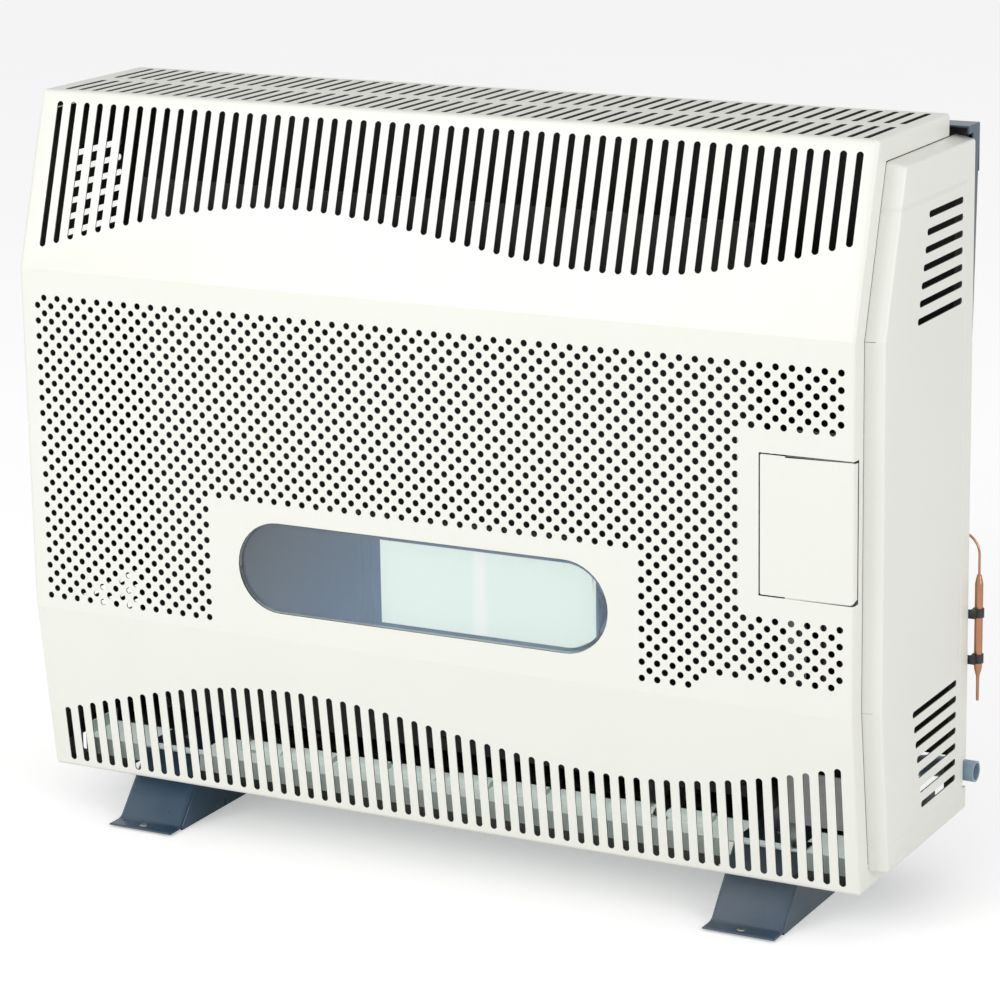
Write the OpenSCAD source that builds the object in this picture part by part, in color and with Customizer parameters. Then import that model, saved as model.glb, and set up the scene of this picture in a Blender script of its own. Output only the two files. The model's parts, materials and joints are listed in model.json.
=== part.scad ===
// Wall mounted gas heater: balanced-flue room heater with a folded, perforated
// front cover, on two floor feet.  Millimetres, +Z up, front towards -Y.
// Depths are written as d, the distance of a face in front of the wall.

/* [Node to build] */
// One sub-part's name, or all

/* [Cover] */
// Width of the folded front cover
cover_width = 820; // [760:1:900]
// Height of its top above the floor
cover_top_z = 687; // [670:1:720]
// Height of its bottom fold above the floor
cover_bottom_z = 47; // [42:1:52]
// Wall to the flat middle face
front_depth = 240; // [232:1:256]
// Middle face back to the top fold
top_setback = 49.4; // [42:0.2:56]
// Middle face back to the bottom fold
bottom_setback = 20; // [14:0.5:24]
// Height of the upper sloped face
upper_height = 157.5; // [150:0.5:166]
// Height of the lower sloped face
lower_height = 161.5; // [150:0.5:166]
// Wall to the rear edge of the top
top_rear_depth = 33.5; // [28:0.5:36]
// Width of the return down each side
cover_flange = 19; // [17:1:24]
// Depth of the return along the bottom
bottom_return = 44; // [40:1:50]
// Thickness of the cover and side panels
cover_sheet = 1.2; // [0.8:0.1:1.6]
// Outer radius of the folds
fold_radius = 4; // [3:0.5:6]

/* [Side panels] */
// Stand of the side panels beyond the cover
panel_stand = 17; // [12:1:24]
// Fall of their front strip towards the outside
panel_bevel = 3; // [1:0.5:5]
// Radius of their outer edge
panel_radius = 3; // [2:0.5:5]
// Wall to their rear edge
panel_rear_depth = 16; // [15:0.5:20]
// Height of their lower edge above the floor
panel_bottom_z = 63; // [60:1:68]
// Gap between the cover's return and the panel
panel_gap = 0.8; // [0.4:0.1:1.5]
// Slots in each of the two groups
side_slot_count = 7; // [4:1:8]
// Distance between them
side_slot_pitch = 14.5; // [12:0.1:16]
// Height of the highest slot of the upper group
upper_slots_z = 616; // [600:1:630]
// Height of the highest slot of the lower group
lower_slots_z = 188; // [182:1:200]

/* [Perforation] */
// Distance between two columns of slots
slot_pitch = 14.5; // [13:0.1:17]
// Width of the slots in the sloped faces
slot_width = 5.5; // [4:0.1:6.5]
// Width of the vents in the top
vent_width = 5; // [4:0.1:6.5]
// Diameter of the round holes
hole_diameter = 5.3; // [4:0.1:6]
// Upper fold to the first row of holes
first_row = 26.1; // [24:0.1:32]
// Last row of holes to the lower fold, at least
last_row = 10; // [9:0.5:20]

/* [Window] */
// Width of the window
window_width = 370; // [330:1:400]
// Height of the window
window_height = 84; // [70:1:96]
// Height of its middle above the floor
window_z = 275; // [268:1:282]
// Thickness of its glass
glass_thickness = 4; // [3:0.5:5]
// Left edge of the clear part, from the middle
clear_left = -40; // [-100:1:0]
// Right edge of the clear part, from the middle
clear_right = 172; // [100:1:174]

/* [Door] */
// Width of the control door
door_width = 85; // [80:1:95]
// Height of its opening's lower edge
door_bottom = 307; // [295:1:312]
// Height of its opening's upper edge
door_top = 430; // [420:1:440]
// Depth of its side return
door_return = 11; // [9:0.5:12]
// Gap round the door
door_gap = 1.2; // [0.8:0.1:2]
// Radius of the hinge rod
rod_r = 1.5; // [1.2:0.1:1.8]
// Opening angle
door_angle = 0; // [0:1:110]

/* [Chassis] */
// Height of the flue's axis
flue_z = 470; // [440:1:490]
// Outer radius of the air intake collar
flue_outer_radius = 65; // [60:1:75]
// Outer radius of the flue spigot
flue_inner_radius = 42; // [36:1:48]
// Length of both beyond the wall face
flue_length = 20; // [15:1:30]
// Distance between the middles of the feet
foot_spacing = 611; // [560:1:640]
// Width of a foot
foot_width = 64; // [56:1:76]
// Wall to a foot's front edge
foot_front = 239; // [232:1:248]
// Thickness of a foot's sheet
foot_sheet = 2; // [1.5:0.1:3]
// Thickness of the back panel and base tray
rear_sheet = 1.4; // [1:0.1:2]

/* [Controls] */
// Height of the knob
knob_z = 385; // [378:1:392]
// Height of the igniter button
button_z = 325; // [318:1:330]
// Radius of the knob
knob_radius = 20; // [16:0.5:22]
// Middle face back to the control plate
plate_setback = 48; // [44:1:52]
// Push of the knob
knob_push = 0; // [0:0.5:5]
// Turn of the knob
knob_turn = 0; // [0:1:270]
// Push of the igniter button
button_push = 0; // [0:0.5:4]

/* [Gas and sensor] */
// Outer radius of the gas inlet pipe
inlet_radius = 9.5; // [8:0.5:10.5]
// Wall to the inlet's axis
inlet_depth = 11; // [11:0.5:12]
// Height of the inlet's axis
inlet_z = 97; // [92:1:102]
// Radius of the thermostat bulb
bulb_radius = 3.7; // [3:0.1:4]
// Length of the thermostat bulb
bulb_length = 89; // [70:1:110]
// Height of its lower end
bulb_low = 188; // [170:1:200]

/* [Hidden] */
$fn = 48;
hw = cover_width / 2;
wall_y = (front_depth - flue_length) / 2;
half_pitch = slot_pitch / 2;
panel_x = hw + panel_stand;
door_left = hw - door_width;
land = 6;                // plain sheet beside each fold
steel = [0.62, 0.63, 0.65];
cream = [0.95, 0.95, 0.92];
navy = [0.22, 0.27, 0.32];
brass_c = [0.78, 0.62, 0.32];
copper_c = [0.72, 0.42, 0.25];

// ---------------------------------------------------------------- helpers
function Y(d) = wall_y - d;

// Outer line of the cover in (depth, z), from the rear edge of the top round
// to the rear edge of the bottom return.
line = [[top_rear_depth, cover_top_z],
        [front_depth - top_setback, cover_top_z],
        [front_depth, cover_top_z - upper_height],
        [front_depth, cover_bottom_z + lower_height],
        [front_depth - bottom_setback, cover_bottom_z],
        [front_depth - bottom_setback - bottom_return, cover_bottom_z]];

function unit(v) = v / norm(v);
function turn_in(v) = [v[1], -v[0]];              // inward normal of the line
function mitre(a, b) = (a + b) / (1 + a * b);
// point i of a line p moved inward by t
function inward(p, i, t) = p[i] + t *
  (i == 0 ? turn_in(unit(p[1] - p[0])) :
   i == len(p) - 1 ? turn_in(unit(p[i] - p[i-1])) :
   mitre(turn_in(unit(p[i] - p[i-1])), turn_in(unit(p[i+1] - p[i]))));
function inset(i, t) = inward(line, i, t);
// the corner of a line at p, from direction u to direction v, rounded to radius
// r and inset by t
bend_steps = 5;
function bend(p, u, v, r, t) =
  let (n1 = turn_in(u), n2 = turn_in(v), c = p + r * mitre(n1, n2),
       a1 = atan2(-n1[1], -n1[0]), sweep = acos(n1 * n2))
  [for (k = [0:bend_steps]) let (a = a1 - sweep * k / bend_steps) c + (r - t) * [cos(a), sin(a)]];
function corner(i, t) =
  bend(line[i], unit(line[i] - line[i-1]), unit(line[i+1] - line[i]), fold_radius, t);

// a profile drawn in (depth, z), as a prism between x0 and x1
module depth_prism(x0, x1)
  translate([x0, wall_y, 0]) rotate([90, 0, 90]) linear_extrude(x1 - x0) scale([-1, 1]) children();
// a plan or elevation drawn in (x, z), as a plate between two depths
module face_plate(d0, d1)
  translate([0, Y(d0), 0]) rotate([90, 0, 0]) linear_extrude(d1 - d0) children();
// rounds along each axis
module rod_y(x, z, r, d0, d1) translate([x, Y(d0), z]) rotate([90, 0, 0]) cylinder(r = r, h = d1 - d0);
module rod_x(d, z, r, x0, x1) translate([x0, Y(d), z]) rotate([0, 90, 0]) cylinder(r = r, h = x1 - x0);
module rod_z(x, d, r, z0, z1) translate([x, Y(d), z0]) cylinder(r = r, h = z1 - z0);
module box(x, d, z) translate([x[0], Y(d[1]), z[0]]) cube([x[1] - x[0], d[1] - d[0], z[1] - z[0]]);
module stadium(w, h) {
  for (s = [-1, 1]) translate([s * (w - h) / 2, 0]) circle(d = h);
  square([w - h, h], center = true);
}
// a slot from s0 to s1 with round ends
module slot2d(s0, s1, w = slot_width) {
  translate([0, s0 + w / 2]) circle(d = w, $fn = 24);
  translate([0, s1 - w / 2]) circle(d = w, $fn = 24);
  translate([-w / 2, s0 + w / 2]) square([w, s1 - s0 - w]);
}
// a bent tube through points given as [x, depth, z]: every leg lies along an
// axis, every corner is a quarter bend of radius big (or big[i] for corner i)
function at(p) = [p[0], Y(p[1]), p[2]];
function bend_of(big, i) = is_list(big) ? big[i] : big;
module run(pts, r, big) {
  n = len(pts);
  for (i = [0:n - 2])
    let (u = unit(at(pts[i+1]) - at(pts[i])),
         a = at(pts[i]) + u * (i == 0 ? 0 : bend_of(big, i)),
         b = at(pts[i+1]) - u * (i == n - 2 ? 0 : bend_of(big, i + 1)))
    translate(a) rotate([0, acos(u[2]), atan2(u[1], u[0])]) cylinder(r = r, h = norm(b - a), $fn = 24);
  if (n > 2) for (i = [1:n - 2])
    let (u = unit(at(pts[i]) - at(pts[i-1])), v = unit(at(pts[i+1]) - at(pts[i])),
         w = cross(u, v), g = bend_of(big, i), c = at(pts[i]) - g * u + g * v)
    multmatrix([[-v[0], u[0], w[0], c[0]], [-v[1], u[1], w[1], c[1]],
                [-v[2], u[2], w[2], c[2]], [0, 0, 0, 1]])
      rotate_extrude(angle = 90) translate([g, 0]) circle(r = r, $fn = 24);
}

// ---------------------------------------------------------------- cover
edge_column = 18.5;      // cover's edge to the first column of slots
slot_columns = 1 + floor((cover_width - 2 * edge_column + 1) / slot_pitch);
column_shift = 2.9;      // the pattern sits a little to the right
column_x = [for (k = [0:slot_columns - 1]) (k - (slot_columns - 1) / 2) * slot_pitch + column_shift];
// where the upper slots stop, above the upper fold: a wave across the width
function wave(x) = let (a = 360 * x / (slot_columns - 2) / slot_pitch)
  53.8 + 0.0671 * x - 27.5 * sin(a) + 5.8 * cos(a);
wave_gap = 122.5;         // the lower wave follows the upper at this distance
slope_up = norm(line[1] - line[2]);
slope_down = norm(line[4] - line[3]);
top_len = norm(line[1] - line[0]);
middle_h = line[2][1] - line[3][1];

module fold(i, l0 = land, l1 = land) {
  u = unit(line[i] - line[i-1]);
  v = unit(line[i+1] - line[i]);
  inner = corner(i, cover_sheet);
  depth_prism(-hw, hw) polygon(concat(
    [line[i] - u * l0], corner(i, 0), [line[i] + v * l1],
    [line[i] + v * l1 + turn_in(v) * cover_sheet],
    [for (k = [bend_steps:-1:0]) inner[k]],
    [line[i] - u * l0 + turn_in(u) * cover_sheet]));
}
// lays a plate drawn in (x, distance from a towards b) on the line a-b, with its
// thickness inside; upwards is set where b lies before a on the cover's line
module on_line(a, b, upwards = false) {
  u = unit(b - a);
  translate([0, Y(a[0]), a[1]]) rotate([atan2(u[1], -u[0]), 0, 0])
    translate([0, 0, upwards ? -cover_sheet : 0]) linear_extrude(cover_sheet) children();
}
// a plate's blank, which ends inside the side returns
module band2d(s0, s1) translate([cover_sheet / 2 - hw, s0]) square([2 * hw - cover_sheet, s1 - s0]);

// rows and columns of round holes, every second place of a half-pitch grid
hole_rows = 1 + floor((middle_h - first_row - last_row) / half_pitch);
function row_z(v) = line[2][1] - first_row - v * half_pitch;
function hole_x(u) = column_x[0] + (u - 0.5) * half_pitch;
plain_window = [27, 15]; // plain sheet beside and above the window
plain_door = [14, 18];   // plain sheet beside the door, and above and below it
plain_corner = [142, 24]; // plain lower right corner, from the edge and the fold
function kept(x, z) =
  !(abs(x) < window_width / 2 + plain_window[0] && z < window_z + window_height / 2 + plain_window[1]) &&
  !(x > door_left - plain_door[0] && z > door_bottom - plain_door[1] && z < door_top + plain_door[1]) &&
  !(x > hw - plain_corner[0] && z < line[3][1] + plain_corner[1]);
// The middle face is rolled in bands of rows, each second one a hair behind its
// neighbours, so that no face carries more than a few hundred holes.
band_rows = 3;
band_step = 0.03;
bands = ceil(hole_rows / band_rows);
function band_top(b) = b == 0 ? line[2][1] - land : row_z(b * band_rows) + half_pitch / 2;
function band_low(b) = b == bands - 1 ? line[3][1] + land : band_top(b + 1);
module middle_band(b) {
  back = (b % 2) * band_step;
  face_plate(front_depth - back - cover_sheet, front_depth - back) difference() {
    translate([-hw, band_low(b)]) square([2 * hw, band_top(b) - band_low(b)]);
    for (v = [b * band_rows:min((b + 1) * band_rows, hole_rows) - 1], u = [0:2 * slot_columns - 1])
      if ((u + v) % 2 == 1 && kept(hole_x(u), row_z(v)))
        translate([hole_x(u), row_z(v)]) circle(d = hole_diameter, $fn = 24);
    translate([0, window_z]) stadium(window_width, window_height);
    translate([door_left, door_bottom]) square([door_width + 1, door_top - door_bottom]);
  }
}

// the outer studs stand inside the window's straight edges
stud_x = [35 - window_width / 2, 0, window_width / 2 - 35];
stud_z = [for (s = [-1, 1]) window_z + s * (window_height / 2 + 8)];
stud_r = 2;
vent_margin = 7;        // rear edge to the vents
vent_bridge = 17.3;      // plain sheet between the two rows of vents
vent_front = 7.7;        // vents to the upper fold
vent_len = (top_len - vent_margin - vent_bridge - vent_front) / 2;
slot_end = [10, 7];      // plain sheet between the slots and the top and bottom folds
cover_screw_x = 150;
cover_screw_d = line[5][0] + 4;
screw_r = 2;
hook_drop = 18;
foot_room = 3;           // play of the feet in the cover's notches
module front_cover() color(cream) difference() {
  union() {
    on_line(line[0], line[1]) difference() {
      band2d(0, top_len - land);
      for (x = column_x, s = [vent_margin, vent_margin + vent_len + vent_bridge])
        translate([x, 0]) slot2d(s, s + vent_len, vent_width);
    }
    on_line(line[2], line[1], true) difference() {
      band2d(land, slope_up - land);
      for (x = column_x) translate([x, 0]) slot2d(wave(x), slope_up - slot_end[0]);
    }
    for (b = [0:bands - 1]) middle_band(b);
    on_line(line[3], line[4]) difference() {
      band2d(land, slope_down - land);
      for (x = column_x) translate([x, 0]) slot2d(wave_gap - wave(x), slope_down - slot_end[1]);
    }
    for (i = [1, 2, 3]) fold(i);
    fold(4, land, bottom_return);
    // rear return of the top, which drops in front of the back panel
    box([-hw, hw], [top_rear_depth, top_rear_depth + cover_sheet], [cover_top_z - hook_drop, cover_top_z]);
    for (s = [0, 1]) mirror([s, 0, 0]) side_return(s == 0);
    // weld studs for the window
    for (x = stud_x, z = stud_z) rod_y(x, z, stud_r, front_depth - 14, front_depth - cover_sheet + 0.1);
  }
  // notches for the feet and holes for the cover screws in the bottom return
  for (s = [-1, 1], w = foot_width / 2 + foot_room) {
    box([s * foot_spacing / 2 - w, s * foot_spacing / 2 + w],
      [line[5][0] - 1, line[4][0] - 12], [cover_bottom_z - 1, cover_bottom_z + 3]);
    translate([s * cover_screw_x, Y(cover_screw_d), cover_bottom_z - 1]) cylinder(r = screw_r + 0.1, h = 4);
  }
}
module side_return(with_door) difference() {
  depth_prism(hw - cover_sheet, hw) polygon(concat(
    [line[0]], corner(1, 0), corner(2, 0), corner(3, 0), corner(4, 0), [line[5]],
    [for (i = [5:-1:0]) inset(i, cover_flange)]));
  if (with_door)
    box([hw - 5, hw + 1], [front_depth - door_return - 2, front_depth + 1], [door_bottom, door_top]);
}

// ---------------------------------------------------------------- side panels
// outline of the pan, the cover's line inset by t, closed at the rear and bottom
function pan_corners(t, rear, low) = [
  [rear, inset(0, t)[1]], inset(1, t), inset(2, t), inset(3, t),
  inset(3, t) + (inset(4, t) - inset(3, t)) * ((inset(3, t)[1] - low) / (inset(3, t)[1] - inset(4, t)[1])),
  [rear, low]];
function pan_outline(t, rear, low, r) = let (p = pan_corners(t, rear, low)) concat(
  [p[0]],
  [for (i = [1:4], q = bend(p[i], unit(p[i] - p[i-1]), unit(p[i+1] - p[i]), r, 0)) q],
  [p[5]]);
skin = 0.01;
// a closed pan from the cover's side to x1, bevelled towards the outside and
// with its outer edge rounded
module pan_block(t, x0, x1, rear, low, r) hull() {
  depth_prism(x0, x0 + skin) polygon(pan_outline(t, rear, low, fold_radius));
  for (a = [0:22.5:90])
    depth_prism(x1 - r + r * sin(a) - skin, x1 - r + r * sin(a))
      polygon(pan_outline(t + panel_bevel + r * (1 - cos(a)), rear, low + r * (1 - cos(a)), fold_radius));
}
pan_inset = cover_flange + panel_gap;
side_slot_d = panel_rear_depth + 27; // wall to the rear ends of the side slots
upper_slots_d = front_depth - 117.8; // and to the front ends of the highest ones
lower_slots_d = front_depth - 92.9;
side_slot_w = 5.2;
panel_screw_x = hw + 6;
panel_screw_r = 1.8;
panel_screw_z = [panel_bottom_z + 66, 320, 480, cover_top_z - 63];
inlet_room = 3.5;        // play of the inlet pipe in the panel
module side_slots2d() for (k = [0:side_slot_count - 1]) {
  translate([0, upper_slots_z - k * side_slot_pitch]) rotate(-90) 
    slot2d(side_slot_d, upper_slots_d + 3.9 * k, side_slot_w);
  translate([0, lower_slots_z - k * side_slot_pitch]) rotate(-90) 
    slot2d(side_slot_d, lower_slots_d - 3.8 * k, side_slot_w);
}
module side_panel() {
  s = cover_sheet;
  difference() {
    pan_block(pan_inset, hw, panel_x, panel_rear_depth, panel_bottom_z, panel_radius);
    pan_block(pan_inset + s, hw - 1, panel_x - s, panel_rear_depth + s, panel_bottom_z + s, panel_radius - s);
    depth_prism(panel_x - 2 * s, panel_x + 1) side_slots2d();
    // room for the gas inlet at the rear edge
    box([hw - 5, panel_x + 2], [panel_rear_depth - 1, inlet_depth + inlet_radius + inlet_room],
      [inlet_z - inlet_radius - inlet_room, inlet_z + inlet_radius + inlet_room]);
    for (z = panel_screw_z)
      rod_y(panel_screw_x, z, panel_screw_r + 0.1, panel_rear_depth - 1, panel_rear_depth + 3);
  }
}
module side_panel_right() color(cream) side_panel();
module side_panel_left() color(cream) mirror([1, 0, 0]) side_panel();

// ---------------------------------------------------------------- rear and base
back_d = [panel_rear_depth - rear_sheet, panel_rear_depth];
back_top = cover_top_z - 12.5;
// how far the intake collar's root stands out where it passes the back panel
collar_step = 1.2;
back_low = panel_bottom_z - 4;
bracket_sheet = 1.5;
bracket_top = back_top + bracket_sheet;
bracket_depth = 26;
bracket_x = panel_x - 2;
hanger_x = 240;
module back_panel() color(steel) {
  face_plate(back_d[0], back_d[1]) difference() {
    translate([-hw - 10, back_low]) square([2 * hw + 20, back_top - back_low]);
    translate([0, flue_z]) circle(r = flue_outer_radius + collar_step + 0.1);
    translate([inlet_x - 20, back_low - 1])
      square([hw + 31 - inlet_x, inlet_z + inlet_radius + inlet_room - back_low + 1]);
    for (s = [-1, 1], z = panel_screw_z) translate([s * panel_screw_x, z]) circle(r = panel_screw_r + 0.1);
    // keyholes for the wall screws
    for (s = [-1, 1]) translate([s * hanger_x, 90]) {
      circle(r = 4);
      translate([-4, 0]) square([8, 12]);
      translate([0, 12]) circle(r = 4);
    }
    for (z = clip_z) translate([clip_screw_x, z]) circle(r = 1.6);
    translate([cap_x, cap_z]) circle(r = cap_r + 2);
  }
  box([-hw + 2, hw - 2], [back_d[0], top_rear_depth], [back_top - rear_sheet, back_top]);
}
wall_slot_x = [-300, 0, 300];
wall_slot_z = bracket_top - 21;
wall_slot_r = 4;
module wall_bracket() color(navy) {
  face_plate(0, bracket_sheet) difference() {
    translate([-bracket_x, bracket_top - 42]) square([2 * bracket_x, 42]);
    for (x = wall_slot_x)
      translate([x, wall_slot_z]) rotate(90) translate([0, -9]) slot2d(0, 18, 2 * wall_slot_r);
  }
  box([-bracket_x, bracket_x], [0, bracket_depth], [bracket_top - bracket_sheet, bracket_top]);
  // cheeks behind the side panels' rear edges, tapered downwards
  for (s = [0, 1]) mirror([s, 0, 0]) depth_prism(bracket_x - bracket_sheet, bracket_x)
    polygon([[0, bracket_top], [bracket_depth, bracket_top], [bracket_depth, bracket_top - 7],
      [back_d[1] - 0.4, bracket_top - 7], [back_d[1] - 0.4, 430], [back_d[1] - 2.4, 430],
      [2, bracket_top - 22], [0, bracket_top - 22]]);
  // lip behind which the back panel hangs
  box([-hw, hw], [back_d[0] - bracket_sheet, back_d[0]], [bracket_top - 27, bracket_top - 1]);
}
tray_z = [panel_bottom_z, panel_bottom_z + rear_sheet];
tray_x = hw - 10;
tray_d = [back_d[1], line[5][0] + 7.4];
tray_rim = 12;
lip_z = cover_bottom_z + cover_sheet;
lip_depth = 15;
foot_bolt_d = [60, tray_d[1] - 38];
bolt_r = 2.5;
module base_tray() color(steel) difference() {
  front = [tray_d[1] - rear_sheet, tray_d[1]];
  union() {
    box([-tray_x, tray_x], tray_d, tray_z);
    // front wall down to the cover, and the lip that the cover screws into
    box([-tray_x, tray_x], front, [lip_z, tray_z[1]]);
    box([-tray_x, tray_x], [tray_d[1] - lip_depth, tray_d[1]], [lip_z, lip_z + rear_sheet]);
    box([-tray_x, tray_x], [tray_d[0], tray_d[0] + rear_sheet], [tray_z[0], tray_z[1] + tray_rim]);
    for (s = [0, 1]) mirror([s, 0, 0])
      box([tray_x - rear_sheet, tray_x], tray_d, [tray_z[0], tray_z[1] + tray_rim]);
  }
  for (s = [-1, 1]) {
    box([s * foot_spacing / 2 - foot_width / 2 - 2, s * foot_spacing / 2 + foot_width / 2 + 2],
      [tray_d[1] - lip_depth - 5, tray_d[1] + 2], [cover_bottom_z, tray_z[0]]);
    translate([s * cover_screw_x, Y(cover_screw_d), cover_bottom_z]) cylinder(r = screw_r + 0.1, h = 5);
    for (d = foot_bolt_d)
      translate([s * foot_spacing / 2, Y(d), tray_z[0] - 1]) cylinder(r = bolt_r + 0.1, h = 4);
  }
  // room for the inlet pipe in the rear rim, and convection openings
  box([inlet_x - 20, hw + 1], [tray_d[0] - 1, tray_d[0] + 4], [tray_z[1], tray_z[1] + tray_rim + 3]);
  for (x = [-220:55:220], d = [70:40:150])
    box([x - 20, x + 20], [d - 6, d + 6], [tray_z[0] - 1, tray_z[1] + 1]);
}
foot_rear = 26;
foot_top_d = tray_d[1] - lip_depth + 1;
foot_toe = 17;
module foot() {
  t = foot_sheet;
  w = foot_width / 2;
  top = tray_z[0];
  shin = foot_front - foot_toe;
  difference() {
    union() {
      for (s = [0, 1]) mirror([s, 0, 0]) depth_prism(w - t, w)
        polygon([[shin - 1, 0], [foot_top_d, top], [foot_rear, top], [foot_rear, 0]]);
      // toe, slanted front and top, one folded strip
      depth_prism(-w, w) polygon([[foot_front, 0], [foot_front, t], [shin, t], [foot_top_d + 1.8, top],
        [foot_rear, top], [foot_rear, top - t], [foot_top_d, top - t], [shin - 2.4, 0]]);
    }
    translate([0, Y(foot_front - 8), -1]) cylinder(r = bolt_r + 0.1, h = 6);
    for (d = foot_bolt_d) translate([0, Y(d), top - 4]) cylinder(r = bolt_r + 0.1, h = 6);
  }
}
module foot_left() color(navy) translate([-foot_spacing / 2, 0, 0]) foot();
module foot_right() color(navy) translate([foot_spacing / 2, 0, 0]) foot();
// pan head with a cross recess, seated on z = 0
module head(r) difference() {
  union() {
    cylinder(r = r, h = r * 0.3);
    translate([0, 0, r * 0.3]) cylinder(r1 = r, r2 = r * 0.62, h = r * 0.24);
  }
  for (a = [0, 90]) rotate(a) translate([-r * 0.5, -r * 0.1, r * 0.32]) cube([r, r * 0.2, r]);
}
module screw(r, shank) {
  head(2 * r);
  translate([0, 0, -shank]) cylinder(r = r, h = shank + 0.1);
}
module foot_screws() color(steel) for (s = [-1, 1]) {
  translate([s * foot_spacing / 2, Y(foot_front - 8), foot_sheet]) screw(bolt_r, foot_sheet - 0.3);
  for (d = foot_bolt_d)
    translate([s * foot_spacing / 2, Y(d), tray_z[1]]) screw(bolt_r, rear_sheet + foot_sheet + 3);
}
module cover_screws() color(steel) for (s = [-1, 1])
  translate([s * cover_screw_x, Y(cover_screw_d), cover_bottom_z]) mirror([0, 0, 1]) screw(screw_r, 8);
module panel_screws() color(steel) for (s = [-1, 1], z = panel_screw_z)
  translate([s * panel_screw_x, Y(back_d[0]), z]) rotate([-90, 0, 0]) screw(panel_screw_r, 9);

// ---------------------------------------------------------------- window
glass_play = 1.4;
glass_w = window_width - glass_play;
glass_h = window_height - glass_play;
mask_d = front_depth - glass_thickness;
print_t = 0.6;
retainer_rim = 15;
retainer_d = 8;
module at_window(d0, d1) face_plate(d0, d1) translate([0, window_z]) children();
module clear2d(m = 0) intersection() {
  translate([clear_left + m, -window_height / 2 + 4 + m])
    square([clear_right - clear_left - 2 * m, window_height - 8 - 2 * m]);
  stadium(window_width - 8 - 2 * m, window_height - 8 - 2 * m);
}
module window_glass() color([0.75, 0.86, 0.84, 0.4]) at_window(mask_d, front_depth) stadium(glass_w, glass_h);
module window_mask() color([0.58, 0.68, 0.72]) at_window(mask_d - print_t, mask_d) difference() {
  stadium(glass_w, glass_h);
  clear2d();
}
module window_diffuser() color([0.86, 0.93, 0.89]) at_window(mask_d - print_t, mask_d) clear2d(0.1);
module window_retainer() color(steel) difference() {
  at_window(front_depth - retainer_d, front_depth - cover_sheet - band_step)
    stadium(window_width + 2 * retainer_rim, window_height + 2 * retainer_rim);
  at_window(mask_d - print_t, front_depth) stadium(window_width + 0.4, window_height + 0.4);
  at_window(front_depth - retainer_d - 1, front_depth) stadium(window_width - 14, window_height - 14);
  for (x = stud_x, z = stud_z) rod_y(x, z, stud_r + 0.2, front_depth - retainer_d - 2, front_depth);
}
module window_nuts() color(steel) for (x = stud_x, z = stud_z) difference() {
  translate([x, Y(front_depth - retainer_d - 3.2), z]) rotate([90, 0, 0]) cylinder(r = 4, h = 3.2, $fn = 6);
  rod_y(x, z, stud_r + 0.05, front_depth - retainer_d - 4, front_depth - retainer_d + 1);
}

// ---------------------------------------------------------------- control door
hinge_x = door_left + door_gap + 8;
hinge_d = front_depth - 5;
knuckle_r = rod_r + 1.7;
knuckle_h = 5;
module rod_along_hinge(r, z0, z1) rod_z(hinge_x, hinge_d, r, z0, z1);
module door_pose()
  translate([hinge_x, Y(hinge_d), 0]) rotate(-door_angle) translate([-hinge_x, -Y(hinge_d), 0]) children();
module control_door() color(cream) door_pose() difference() {
  low = door_bottom + door_gap;
  high = door_top - door_gap;
  union() {
    box([door_left + door_gap, hw], [front_depth - cover_sheet, front_depth], [low, high]);
    box([hw - cover_sheet, hw], [front_depth - door_return, front_depth], [low, high]);
    // stiffening returns along the top and bottom
    for (z = [low, high - cover_sheet])
      box([hinge_x + 12, hw - cover_sheet / 2], [front_depth - 7, front_depth], [z, z + cover_sheet]);
    // knuckles on the hinge rod
    for (z = [low + 3, high - 3 - knuckle_h]) {
      rod_along_hinge(knuckle_r, z, z + knuckle_h);
      box([hinge_x - knuckle_r, hinge_x + knuckle_r],
        [hinge_d, front_depth - cover_sheet / 2], [z, z + knuckle_h]);
    }
  }
  rod_along_hinge(rod_r + 0.05, low, high);
  // cropped lower corner of the return
  translate([hw, Y(front_depth - door_return), low]) rotate([45, 0, 0]) cube([6, 5, 5], center = true);
}
bracket_t = 1.5;
module door_hinge_bracket() color(steel) difference() {
  back = front_depth - cover_sheet - band_step;
  union() {
    box([door_left - 20, door_left - 2], [back - 1.2, back], [door_bottom - 12, door_top + 12]);
    for (z = [door_bottom - 3 - bracket_t, door_top + 3]) {
      box([door_left - 4, hinge_x], [hinge_d - knuckle_r, back], [z, z + bracket_t]);
      rod_along_hinge(knuckle_r, z, z + bracket_t);
    }
  }
  rod_along_hinge(rod_r, door_bottom - 6, door_top + 6);
}
module door_hinge_rod() color(steel) {
  rod_along_hinge(rod_r, door_bottom - 7, door_top + 6);
  rod_along_hinge(rod_r + 1.1, door_top + 3 + bracket_t, door_top + 6);
}
catch_z = (door_bottom + door_top) / 2;
module door_catch() color([0.12, 0.12, 0.13]) {
  x = hw - cover_sheet;
  d = front_depth - door_return - 8;
  box([x - 1.5, x], [d, d + 5], [catch_z - 9, catch_z + 9]);
  box([x - 3.3, x - 1.4], [d, d + 13], [catch_z - 9, catch_z + 9]);
  box([x - 16.8, x - 3.2], [d + 5, front_depth - cover_sheet], [catch_z - 7, catch_z + 7]);
}

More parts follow.
